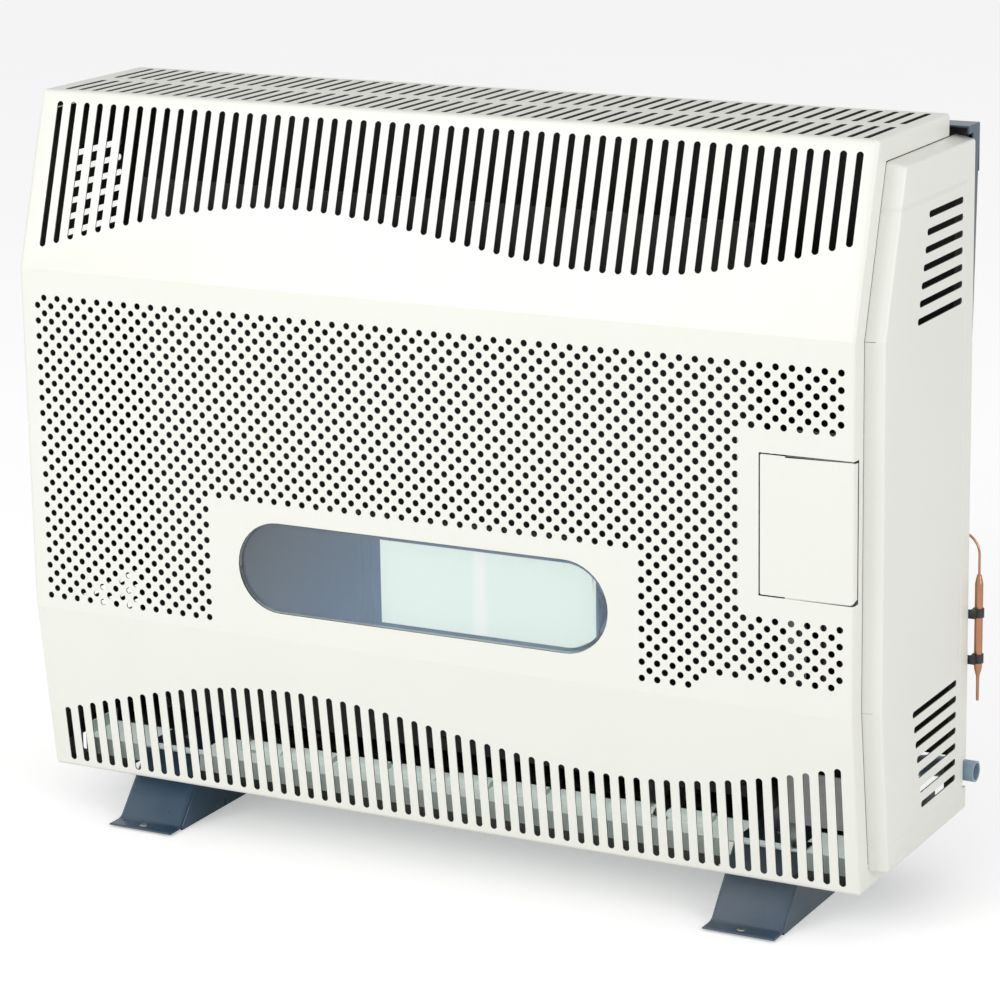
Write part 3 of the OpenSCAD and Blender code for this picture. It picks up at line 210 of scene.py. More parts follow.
def new_inputs(tree, names):
    """Adds interface inputs given as (name, socket type, default)."""
    for name, kind, default in names:
        s = tree.interface.new_socket(name, in_out="INPUT", socket_type=kind)
        if default is not None:
            s.default_value = default


F, C = "NodeSocketFloat", "NodeSocketColor"


def shader_group(name, inputs):
    """A group that turns the inputs, given as (name, default), into colour, roughness and height."""
    tree = bpy.data.node_groups.new(name, "ShaderNodeTree")
    new_inputs(tree, [(n, F if isinstance(value, float) else C, value) for n, value in inputs])
    for n, kind in (("Colour", C), ("Roughness", F), ("Height", F)):
        tree.interface.new_socket(n, in_out="OUTPUT", socket_type=kind)
    return tree, tree.nodes.new("NodeGroupInput").outputs, tree.nodes.new("NodeGroupOutput").inputs


def object_axes(tree):
    return split(tree, add_node(tree, "ShaderNodeTexCoord").outputs["Object"])


def facing_up(tree):
    return split(tree, add_node(tree, "ShaderNodeNewGeometry").outputs["Normal"])[2]


def object_point(tree, scale=(1, 1, 1)):
    coord = add_node(tree, "ShaderNodeTexCoord")
    return add_node(tree, "ShaderNodeMapping", {0: coord.outputs["Object"], "Scale": scale}).outputs[0]


def noise(tree, vector, scale, detail=2.0, roughness=0.5):
    return add_node(tree, "ShaderNodeTexNoise",
                    {"Vector": vector, "Scale": scale, "Detail": detail, "Roughness": roughness}).outputs["Fac"]


def ramp(tree, value, low, high, to_low=0.0, to_high=1.0):
    return add_node(tree, "ShaderNodeMapRange",
                    {0: value, 1: low, 2: high, 3: to_low, 4: to_high}, clamp=True).outputs[0]


def mix(tree, factor, a, b, mode="MIX"):
    return add_node(tree, "ShaderNodeMix", {0: factor, 6: a, 7: b}, data_type="RGBA", blend_type=mode).outputs[2]


# ------------------------------------------------------------------ shared surface effects
def make_enamel_group():
    """Stoved enamel: slow tint variation, orange peel and settled dust."""
    t, i, o = shader_group("stoved_enamel", [("Colour", (0.8, 0.8, 0.8, 1)), ("Tint", 0.03), ("Roughness", 0.35),
                                             ("Peel scale", 420.0), ("Peel", 0.25), ("Dust", 0.1)])
    p = object_point(t)
    slow = noise(t, p, 5.0, 3.0)
    shade = mix(t, mul(t, ramp(t, slow, 0.35, 0.65), i["Tint"]), i["Colour"], (0.55, 0.53, 0.46, 1))
    lies = mul(t, ramp(t, facing_up(t), 0.55, 0.98), ramp(t, noise(t, p, 34.0, 6.0, 0.62), 0.38, 0.72))
    dusty = mul(t, lies, i["Dust"])
    streak = noise(t, object_point(t, (9, 9, 1.6)), 3.0, 3.0)
    r = add(t, i["Roughness"], ramp(t, streak, 0.3, 0.7, -0.04, 0.05))
    peel = noise(t, p, i["Peel scale"], 2.0, 0.45)
    feed(t, o, {"Colour": mix(t, dusty, shade, (0.46, 0.43, 0.37, 1)),
                "Roughness": add(t, r, mul(t, dusty, 0.5)), "Height": mul(t, peel, i["Peel"])})


def make_metal_group():
    """Sheet metal: drawn grain along one axis, spangle and tarnish."""
    t, i, o = shader_group("drawn_metal", [
        ("Colour", (0.6, 0.6, 0.6, 1)), ("Roughness", 0.35), ("Grain X", 20.0), ("Grain Y", 600.0),
        ("Grain Z", 600.0), ("Spangle", 0.3), ("Tarnish", 0.2)])
    coord = add_node(t, "ShaderNodeTexCoord").outputs["Object"]
    stretch = xyz(t, i["Grain X"], i["Grain Y"], i["Grain Z"])
    lines = add_node(t, "ShaderNodeVectorMath", {0: coord, 1: stretch}, operation="MULTIPLY").outputs[0]
    grain = noise(t, lines, 1.0, 3.0, 0.6)
    cells = add_node(t, "ShaderNodeTexVoronoi", {"Vector": coord, "Scale": 95.0}).outputs["Color"]
    cell = add_node(t, "ShaderNodeSeparateColor", {0: cells}).outputs[0]
    shine = mul(t, sub(t, cell, 0.5), i["Spangle"])
    stain = mul(t, ramp(t, noise(t, coord, 14.0, 5.0, 0.6), 0.42, 0.75), i["Tarnish"])
    base = mix(t, stain, i["Colour"], (0.16, 0.13, 0.10, 1))
    r = add(t, add(t, i["Roughness"], mul(t, shine, 0.4)), mul(t, stain, 0.35))
    feed(t, o, {"Colour": mix(t, ramp(t, grain, 0.3, 0.7, 0.0, 0.16), base, (0.9, 0.9, 0.9, 1)),
                "Roughness": add(t, r, ramp(t, grain, 0.2, 0.8, -0.05, 0.07)), "Height": mul(t, grain, 0.5)})


def make_moulded_group():
    """Moulded or cast surface: fine spark texture with rubbed, smoother places."""
    t, i, o = shader_group("moulded_grain", [("Colour", (0.1, 0.1, 0.1, 1)), ("Roughness", 0.5),
                                             ("Texture scale", 900.0), ("Wear", 0.3)])
    p = object_point(t)
    rubbed = mul(t, ramp(t, noise(t, p, 60.0, 4.0), 0.45, 0.7), i["Wear"])
    feed(t, o, {"Colour": mix(t, mul(t, rubbed, 0.35), i["Colour"], (0.5, 0.5, 0.5, 1)),
                "Roughness": sub(t, i["Roughness"], mul(t, rubbed, 0.25)),
                "Height": noise(t, p, i["Texture scale"], 2.0)})


def start_material(name):
    m = bpy.data.materials.new(name)
    m.use_nodes = True
    return m, m.node_tree, m.node_tree.nodes["Principled BSDF"].inputs


def shader_of(m):
    """A material's tree, its shader's inputs and the socket that its colour comes from."""
    s = m.node_tree.nodes["Principled BSDF"].inputs
    return m.node_tree, s, s["Base Color"].links[0].from_socket


def bumped(t, s, height, strength, distance, **more):
    b = add_node(t, "ShaderNodeBump", {"Height": height, "Strength": strength, "Distance": distance, **more})
    feed(t, s, {"Normal": b.outputs[0]})


def use_group(t, s, group, values, bump, distance):
    g = add_node(t, "ShaderNodeGroup", values, node_tree=bpy.data.node_groups[group]).outputs
    feed(t, s, {"Base Color": g["Colour"], "Roughness": g["Roughness"]})
    bumped(t, s, g["Height"], bump, distance)


def rgba(c):
    return (c[0], c[1], c[2], 1.0)


def enamel(name, tint, roughness=0.36, peel=0.25, dust=0.1, coat=0.25, variation=0.03, bump=0.12):
    m, t, s = start_material(name)
    values = {"Colour": rgba(tint), "Roughness": roughness, "Peel": peel, "Dust": dust, "Tint": variation}
    use_group(t, s, "stoved_enamel", values, bump, 0.0004)
    feed(t, s, {"Coat Weight": coat, "Coat Roughness": 0.18})
    return m


def metal(name, tint, roughness=0.34, grain=(20.0, 600.0, 600.0), spangle=0.3, tarnish=0.2, bump=0.12):
    m, t, s = start_material(name)
    values = {"Colour": rgba(tint), "Roughness": roughness, "Grain X": grain[0], "Grain Y": grain[1],
              "Grain Z": grain[2], "Spangle": spangle, "Tarnish": tarnish}
    use_group(t, s, "drawn_metal", values, bump, 0.0002)
    feed(t, s, {"Metallic": 1.0})
    return m


def moulded(name, tint, roughness=0.5, scale=900.0, wear=0.3, bump=0.15, coat=0.0, metallic=0.0):
    m, t, s = start_material(name)
    values = {"Colour": rgba(tint), "Roughness": roughness, "Texture scale": scale, "Wear": wear}
    use_group(t, s, "moulded_grain", values, bump, 0.0003)
    feed(t, s, {"Coat Weight": coat, "Metallic": metallic})
    return m


# ------------------------------------------------------------------ finishes
def make_glass_print(tint):
    """Fired print seen through the polished glass, with a painted reflection: darker towards its upper left end,
    lighter towards the lower right.
    """
    m = enamel("glass_print", tint, roughness=0.30, peel=0.05, dust=0.0, coat=1.0, variation=0.10, bump=0.04)
    t, s, ink = shader_of(m)
    x, _, z = object_axes(t)
    # painted reflection: the print runs from a darkened copy at the upper left to a lightened copy at the lower
    # right
    along = sub(t, x, mul(t, z, 0.8))
    painted_reflection = ramp(t, along, -0.430, -0.260)
    print_painted_dark = mix(t, 1.0, ink, (0.42, 0.40, 0.40, 1), "MULTIPLY")
    pale = mix(t, 1.0, ink, (1.15, 1.25, 1.30, 1), "MULTIPLY")
    feed(t, s, {"Base Color": mix(t, painted_reflection, print_painted_dark, pale), "Coat Roughness": 0.03})
    return m


def make_etched(tint):
    """Etched clear part, with the whiter upright band where the light falls."""
    m = enamel("etched_glass", tint, roughness=0.4, peel=0.1, dust=0.0, coat=1.0, variation=0.04, bump=0.05)
    t, s, tinted = shader_of(m)
    x = object_axes(t)[0]
    band = mul(t, ramp(t, x, 0.050, 0.056), ramp(t, x, 0.068, 0.062))
    feed(t, s, {"Base Color": mix(t, band, tinted, (0.97, 0.99, 0.98, 1)), "Coat Roughness": 0.03})
    return m


def make_glass():
    """Polished glass that lets the print behind it show and mirrors at a flat angle."""
    m, t, s = start_material("polished_glass")
    smear = noise(t, object_point(t), 26.0, 4.0)
    edge = add_node(t, "ShaderNodeLayerWeight", {"Blend": 0.15}).outputs["Fresnel"]
    feed(t, s, {"Base Color": (0.80, 0.90, 0.87, 1), "Roughness": ramp(t, smear, 0.4, 0.75, 0.02, 0.10),
                "Alpha": ramp(t, edge, 0.0, 1.0, 0.04, 1.0), "Specular IOR Level": 0.8})
    return m


def make_fibre(name, dark, light):
    """Woven cord or felt."""
    m, t, s = start_material(name)
    p = object_point(t)
    weave = {"Vector": p, "Scale": 160.0, "Distortion": 1.5, "Detail": 2.0}
    w = add_node(t, "ShaderNodeTexWave", weave).outputs["Fac"]
    feed(t, s, {"Base Color": mix(t, w, rgba(dark), rgba(light)),
                "Roughness": ramp(t, noise(t, p, 220.0), 0.3, 0.7, 0.75, 0.95)})
    bumped(t, s, w, 0.5, 0.0006)
    return m


def make_rear_zinc(tint):
    """Bare zinc towards the wall, near black on the inner face."""
    m = metal("rear_zinc", tint, roughness=0.42, spangle=0.5)
    t, s, grey = shader_of(m)
    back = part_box("back_panel")[1][1]
    zinc = ramp(t, object_axes(t)[1], back - 0.0011, back - 0.0007)
    feed(t, s, {"Base Color": mix(t, zinc, (0.012, 0.012, 0.012, 1), grey), "Metallic": zinc})
    return m


def make_tray_enamel(strip_width):
    """Pale mint enamel along the tray's front, given a painted glow for the light through the lower slots, and near
    black painted shade behind it.
    """
    m = enamel("tray_enamel_with_painted_light_and_shade", (0.80, 0.93, 0.86), roughness=0.45, dust=0.2)
    t, s, pale = shader_of(m)
    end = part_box("base_tray")[0][1] + strip_width
    # painted light and shade: inside the front strip the up-facing faces glow, behind it the colour is near black
    strip = ramp(t, object_axes(t)[1], end + 0.003, end)
    feed(t, s, {"Base Color": mix(t, strip, (0.015, 0.016, 0.016, 1), pale),
                "Emission Color": (0.88, 1.0, 0.94, 1),
                "Emission Strength": mul(t, mul(t, strip, ramp(t, facing_up(t), 0.4, 0.8)), 0.40)})
    return m


def paint(node, finish):
    """Gives every material slot of one of the frame's solids the finish."""
    obj = frame["nodes"][node]
    if not obj.material_slots:
        obj.data.materials.append(finish)
    for slot in obj.material_slots:
        slot.material = finish


class HEATER_OT_finishes(bpy.types.Operator):
    """Make the finishes and put them on the parts of the frame"""
    bl_idname = "heater.finishes"
    bl_label = "Finishes"

    def execute(self, context):
        c = context.scene.heater_colours
        make_enamel_group()
        make_metal_group()
        make_moulded_group()
        made = {
            "cover_paint": enamel("cream_enamel", c.cream, roughness=0.38, dust=0.10, coat=0.22),
            "navy_paint": enamel("slate_enamel", c.navy, roughness=0.30, dust=0.05, coat=0.5, variation=0.12),
            "plain_steel": metal("zinc_sheet", c.steel, roughness=0.42, spangle=0.5, tarnish=0.15),
            "black_steel": enamel("heat_black", (0.022, 0.022, 0.024), 0.62, peel=0.6, dust=0.35, coat=0.0),
            "glass": make_glass(),
            "glass_print": make_glass_print(c.print_tint),
            "etched_glass": make_etched(c.mint),
            "black_plastic": moulded("black_moulding", (0.018, 0.018, 0.020), roughness=0.5),
            "red_plastic": moulded("red_moulding", (0.48, 0.03, 0.02), roughness=0.28, wear=0.2, coat=0.4),
            "white_plastic": moulded("white_moulding", (0.76, 0.76, 0.72), roughness=0.42, wear=0.1),
            "valve_cast": moulded("die_casting", (0.50, 0.51, 0.52), 0.46, 500.0, bump=0.3, metallic=0.85),
            "brass": metal("turned_brass", (0.62, 0.43, 0.16), 0.28, (400.0, 400.0, 60.0), spangle=0.0),
            "copper": metal("drawn_copper", c.copper, 0.30, (700.0, 700.0, 25.0), spangle=0.0, tarnish=0.35),
            "pipe_paint": enamel("pipe_enamel", (0.23, 0.35, 0.45), roughness=0.34, dust=0.2, variation=0.1),
            "ceramic": enamel("glazed_ceramic", (0.83, 0.82, 0.76), roughness=0.16, peel=0.1, dust=0.05, coat=0.8),
            "fibre": make_fibre("woven_fibre", (0.62, 0.60, 0.53), (0.84, 0.82, 0.75)),
            "aluminium": metal("spun_aluminium", (0.70, 0.71, 0.72), 0.33, (60.0, 20.0, 500.0), spangle=0.0),
        }
        slots = {s["node"]: s["material_slot"] for s in frame["record"]["subparts"]}
        for name in frame["nodes"]:
            paint(name, made[slots[name]])
        # then the inside of the cover and pans, in near black painted shade, and the four solids that differ from
        # their slot
        enamel("inner_painted_shade", (0.035, 0.035, 0.033), roughness=0.7, peel=0.6, dust=0.0, coat=0.0, variation=0.2)
        paint("back_panel", make_rear_zinc(c.steel))
        # the gasket is made near black: painted shade where it shows through the slots
        paint("chamber_gasket", make_fibre("dark_fibre_painted_shade", (0.020, 0.020, 0.021), (0.045, 0.045, 0.046)))
        paint("chamber_screws", made["black_steel"])
        paint("base_tray", make_tray_enamel(context.scene.heater_tray.pale))
        return {"FINISHED"}


# ------------------------------------------------------------------ perforated sheets
def grid_points(t, columns, rows, step_x, step_y, first_x, first_y):
    """Points in columns and rows, given the first one's place."""
    wide = mul(t, sub(t, columns, 1.0), step_x)
    high = mul(t, sub(t, rows, 1.0), step_y)
    size = {"Size X": wide, "Size Y": high, "Vertices X": columns, "Vertices Y": rows}
    x = add(t, first_x, mul(t, wide, 0.5))
    y = add(t, first_y, mul(t, high, 0.5))
    return geo(t, "Transform", {"Geometry": geo(t, "MeshGrid", size), "Translation": xyz(t, x, y)})


def end_sheet(t, group_in, group_out, holes):
    """Fills the outline less the holes, and gives the sheet its finish."""
    join = add_node(t, "GeometryNodeJoinGeometry")
    for part in (geo(t, "MeshToCurve", {0: group_in["Outline"]}), geo(t, "RealizeInstances", {0: holes})):
        t.links.new(part, join.inputs[0])
    fill = add_node(t, "GeometryNodeFillCurve", {0: join.outputs[0]})
    if hasattr(fill, "mode"):
        fill.mode = "TRIANGLES"
    whole = geo(t, "RealizeInstances", {0: fill.outputs[0]})
    feed(t, group_out, {0: geo(t, "SetMaterial", {"Geometry": whole, "Material": group_in["Finish"]})})


def new_geometry_tree(name, counts, lengths):
    """A tree with inputs for the outline, the counts, the lengths and the finish."""
    t = bpy.data.node_groups.new(name, "GeometryNodeTree")
    t.interface.new_socket("Outline", in_out="INPUT", socket_type="NodeSocketGeometry")
    new_inputs(t, [(n, "NodeSocketInt", 4) for n in counts] + [(n, F, 0.01) for n in lengths]
               + [("Finish", "NodeSocketMaterial", None)])
    t.interface.new_socket("Sheet", in_out="OUTPUT", socket_type="NodeSocketGeometry")
    return t, t.nodes.new("NodeGroupInput").outputs, t.nodes.new("NodeGroupOutput").inputs


def split_position(t):
    return split(t, geo(t, "InputPosition"))


def make_hole_tree():
    """Round holes on every second place of a square grid, less three plain fields."""
    t, i, o = new_geometry_tree("round_holes", ("Columns", "Rows"), (
        "Step", "First X", "Last Z", "Radius", "Window half", "Window top", "Door left", "Door low", "Door high",
        "Corner left", "Corner top"))
    points = grid_points(t, i["Columns"], i["Rows"], i["Step"], i["Step"], i["First X"], i["Last Z"])
    x, z, _ = split_position(t)
    u = maths(t, "ROUND", maths(t, "DIVIDE", sub(t, x, i["First X"]), i["Step"]))
    v = maths(t, "ROUND", maths(t, "DIVIDE", sub(t, z, i["Last Z"]), i["Step"]))
    odd = maths(t, "MODULO", add(t, u, v), 2.0)
    skip = above(t, odd, 0.5)
    window = mul(t, below(t, maths(t, "ABSOLUTE", x), i["Window half"]), below(t, z, i["Window top"]))
    at_door = mul(t, above(t, z, i["Door low"]), below(t, z, i["Door high"]))
    door = mul(t, above(t, x, i["Door left"]), at_door)
    corner = mul(t, above(t, x, i["Corner left"]), below(t, z, i["Corner top"]))
    for zone in (window, door, corner):
        skip = maths(t, "MAXIMUM", skip, zone)
    kept = geo(t, "DeleteGeometry", {"Geometry": points, "Selection": above(t, skip, 0.5)})
    ring = geo(t, "CurvePrimitiveCircle", {"Resolution": 16, "Radius": i["Radius"]})
    end_sheet(t, i, o, geo(t, "InstanceOnPoints", {"Points": kept, "Instance": ring}))
    return t


def make_slot_tree():
    """Columns of slots with round ends, which may start along a wave."""
    t, i, o = new_geometry_tree("wave_slots", ("Columns", "Groups"), (
        "Pitch", "First X", "Width", "Start", "End", "Group step", "Tilt", "Sine", "Cosine", "Wave length"))
    points = grid_points(t, i["Columns"], i["Groups"], i["Pitch"], 1.0, i["First X"], 0.0)
    x, row, _ = split_position(t)
    angle = mul(t, maths(t, "DIVIDE", x, i["Wave length"]), 2 * math.pi)
    turns = add(t, mul(t, i["Sine"], maths(t, "SINE", angle)), mul(t, i["Cosine"], maths(t, "COSINE", angle)))
    wave = add(t, mul(t, i["Tilt"], x), turns)
    shift = mul(t, row, i["Group step"])
    low = add(t, add(t, i["Start"], shift), wave)
    high = add(t, i["End"], shift)
    for name, value in (("slot_low", low), ("slot_high", high)):
        points = geo(t, "StoreNamedAttribute", {"Geometry": points, "Name": name, "Value": value},
                     data_type="FLOAT", domain="POINT")
    flat = geo(t, "SetPosition", {"Geometry": points, "Position": xyz(t, x)})
    radius = mul(t, i["Width"], 0.5)
    # a ring of 12 corners is turned by half a step, so that its flats lie along the slot
    half_step = math.radians(15)
    ring = geo(t, "CurvePrimitiveCircle",
               {"Resolution": 12, "Radius": maths(t, "DIVIDE", radius, math.cos(half_step))})
    ring = geo(t, "Transform", {"Geometry": ring, "Rotation": (0, 0, half_step)})
    placed = geo(t, "RealizeInstances", {0: geo(t, "InstanceOnPoints", {"Points": flat, "Instance": ring})})
    px, py, _ = split_position(t)
    ends = [geo(t, "InputNamedAttribute", {0: n}, data_type="FLOAT") for n in ("slot_low", "slot_high")]
    upper = above(t, py, 0.0)
    at_high = add(t, sub(t, ends[1], radius), py)
    at_low = add(t, add(t, ends[0], radius), py)
    y = add(t, mul(t, upper, at_high), mul(t, sub(t, 1.0, upper), at_low))
    end_sheet(t, i, o, geo(t, "SetPosition", {"Geometry": placed, "Position": xyz(t, px, y)}))
    return t


def new_object(name, data):
    obj = bpy.data.objects.new(name, data)
    bpy.context.scene.collection.objects.link(obj)
    return obj


def evaluated(obj):
    """The object's mesh with its modifiers applied."""
    bpy.context.view_layer.update()
    return bpy.data.meshes.new_from_object(obj.evaluated_get(bpy.context.evaluated_depsgraph_get()))


def perforate(name, loops, tree, values, finish):
    """Runs a perforation tree on the outline given as loops of (x, s) and returns (points, faces)."""
    mesh = bpy.data.meshes.new(name)
    points, edges = [], []
    for loop in loops:
        n, k = len(points), len(loop)
        points += [(p[0], p[1], 0.0) for p in loop]
        edges += [(n + j, n + (j + 1) % k) for j in range(k)]
    mesh.from_pydata(points, edges, [])
    obj = new_object(name, mesh)
    mod = obj.modifiers.new("perforation", "NODES")
    mod.node_group = tree
    for item in tree.interface.items_tree:
        if item.in_out == "INPUT" and item.name in values:
            mod[item.identifier] = values[item.name]
        if item.in_out == "INPUT" and item.name == "Finish":
            mod[item.identifier] = bpy.data.materials[finish]
    obj.update_tag()
    baked = evaluated(obj)
    result = ([tuple(v.co) for v in baked.vertices], [tuple(p.vertices) for p in baked.polygons])
    if len(result[1]) < 3:
        raise RuntimeError(name + " came out empty")
    bpy.data.objects.remove(obj)
    return result


def stadium(width, height, z, steps=20):
    r, h = height / 2, (width - height) / 2
    angles = [math.pi * (k / steps - 0.5) for k in range(steps + 1)]
    right = [(h + r * math.cos(a), z + r * math.sin(a)) for a in angles]
    return right + [(-x, 2 * z - y) for x, y in right]


def bend(p, u, v, radius, steps=6):
    """Points round the corner p between the directions u and v, each with its outward direction."""
    a, b = Vector((-u[1], u[0])), Vector((-v[1], v[0]))
    centre = p - (a + b) / (1 + a.dot(b)) * radius
    turn = a.angle(b)
    result = []
    for k in range(steps + 1):
        cos, sin = math.cos(turn * k / steps), math.sin(turn * k / steps)
        n = Vector((a[0] * cos + a[1] * sin, -a[0] * sin + a[1] * cos))
        result.append((centre + n * radius, n))
    return result


class Profile:
    """The cover's line seen from the side, in (depth before the wall plane, height)."""

    def __init__(self, c):
        front = -FRONT_Y
        back = -COVER_HIGH[1]
        self.radius = c.fold_radius
        self.line = [Vector(p) for p in (
            (back, COVER_HIGH[2]), (front - c.top_setback, COVER_HIGH[2]), (front, c.upper_fold),
            (front, c.lower_fold), (front - c.bottom_setback, COVER_LOW[2]),
            (front - c.bottom_setback - c.bottom_return, COVER_LOW[2]))]

    def unit(self, i):
        return (self.line[i + 1] - self.line[i]).normalized()

    def out(self, i):
        u = self.unit(i)
        return Vector((-u[1], u[0]))

    def inset(self, i, t):
        """Corner i of the line moved inwards by t."""
        if i in (0, len(self.line) - 1):
            return self.line[i] - self.out(max(0, i - 1)) * t
        a, b = -self.out(i - 1), -self.out(i)
        return self.line[i] + (a + b) / (1 + a.dot(b)) * t

    def tangent(self, i):
        """Distance from corner i to where its rounding starts."""
        return self.radius * math.tan(self.unit(i - 1).angle(self.unit(i)) / 2)

    def rounding(self, i):
        """Points and outward directions round corner i."""
        return [(p, n, i) for p, n in bend(self.line[i], self.unit(i - 1), self.unit(i), self.radius)]


def place(x, p):
    """A point at x, and (depth, height) p."""
    return Vector((x, -p[0], p[1]))


def finish_mesh(name, bm, thickness, finish, body, nodes, outward, inner=None, even=True):
    """Turns a one-sided shell, facing outward, into a sheet of the given thickness that rides on its body."""
    bmesh.ops.remove_doubles(bm, verts=bm.verts, dist=1e-5)
    bmesh.ops.dissolve_degenerate(bm, dist=1e-6, edges=bm.edges)
    bmesh.ops.recalc_face_normals(bm, faces=bm.faces)
    best = max(bm.faces, key=lambda f: f.calc_area())
    if best.normal.dot(Vector(outward)) < 0:
        bmesh.ops.reverse_faces(bm, faces=bm.faces)
    mesh = bpy.data.meshes.new(name)
    bm.to_mesh(mesh)
    bm.free()
    obj = new_object(name, mesh)
    for material in (finish, inner or finish):
        mesh.materials.append(bpy.data.materials[material])
    if thickness:
        wall = obj.modifiers.new("sheet", "SOLIDIFY")
        # the rims take the inner material as well, so cut edges carry its painted shade
        wall.material_offset = wall.material_offset_rim = 1
        wall.thickness = thickness
        wall.offset = -1.0
        wall.use_even_offset = even
        mesh = evaluated(obj)
        obj.modifiers.clear()
        obj.data = mesh
    mesh.shade_smooth()
    mesh.set_sharp_from_angle(angle=math.radians(28))
    mesh.name = name
    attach(obj, body)
    if nodes:
        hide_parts(*nodes)


def add_faces(bm, points, faces):
    made = [bm.verts.new(p) for p in points]
    for f in faces:
        if len({tuple(round(c, 7) for c in points[i]) for i in f}) > 2:
            bm.faces.new([made[i] for i in f])


def add_face(bm, points):
    add_faces(bm, points, [tuple(range(len(points)))])


def add_strip(bm, a, b):
    """Quads between two equally long rows of points."""
    n = len(a)
    add_faces(bm, list(a) + list(b), [(k, k + 1, n + k + 1, n + k) for k in range(n - 1)])


# the cover's small distances, in metres
GLASS_ROOM = 0.0014                    # the window opening is larger than the glass by
DOOR_GAP = 0.0012                      # clearance round the door
DOOR_CUT = 0.0100                      # depth of the door's opening in the side return
VENT_REAR, VENT_BRIDGE, VENT_FRONT = 0.007, 0.0173, 0.0077
SLOTS_TO_TOP, SLOTS_TO_BOTTOM = 0.010, 0.007
PLAIN_WINDOW, PLAIN_DOOR, PLAIN_CORNER = (0.027, 0.015), (0.014, 0.018), (0.142, 0.024)
FOOT_ROOM, NOTCH_END = 0.003, 0.012    # notches for the feet: room at each side, and where they start
REAR_DROP = 0.018                      # height of the drop along the rear of the top


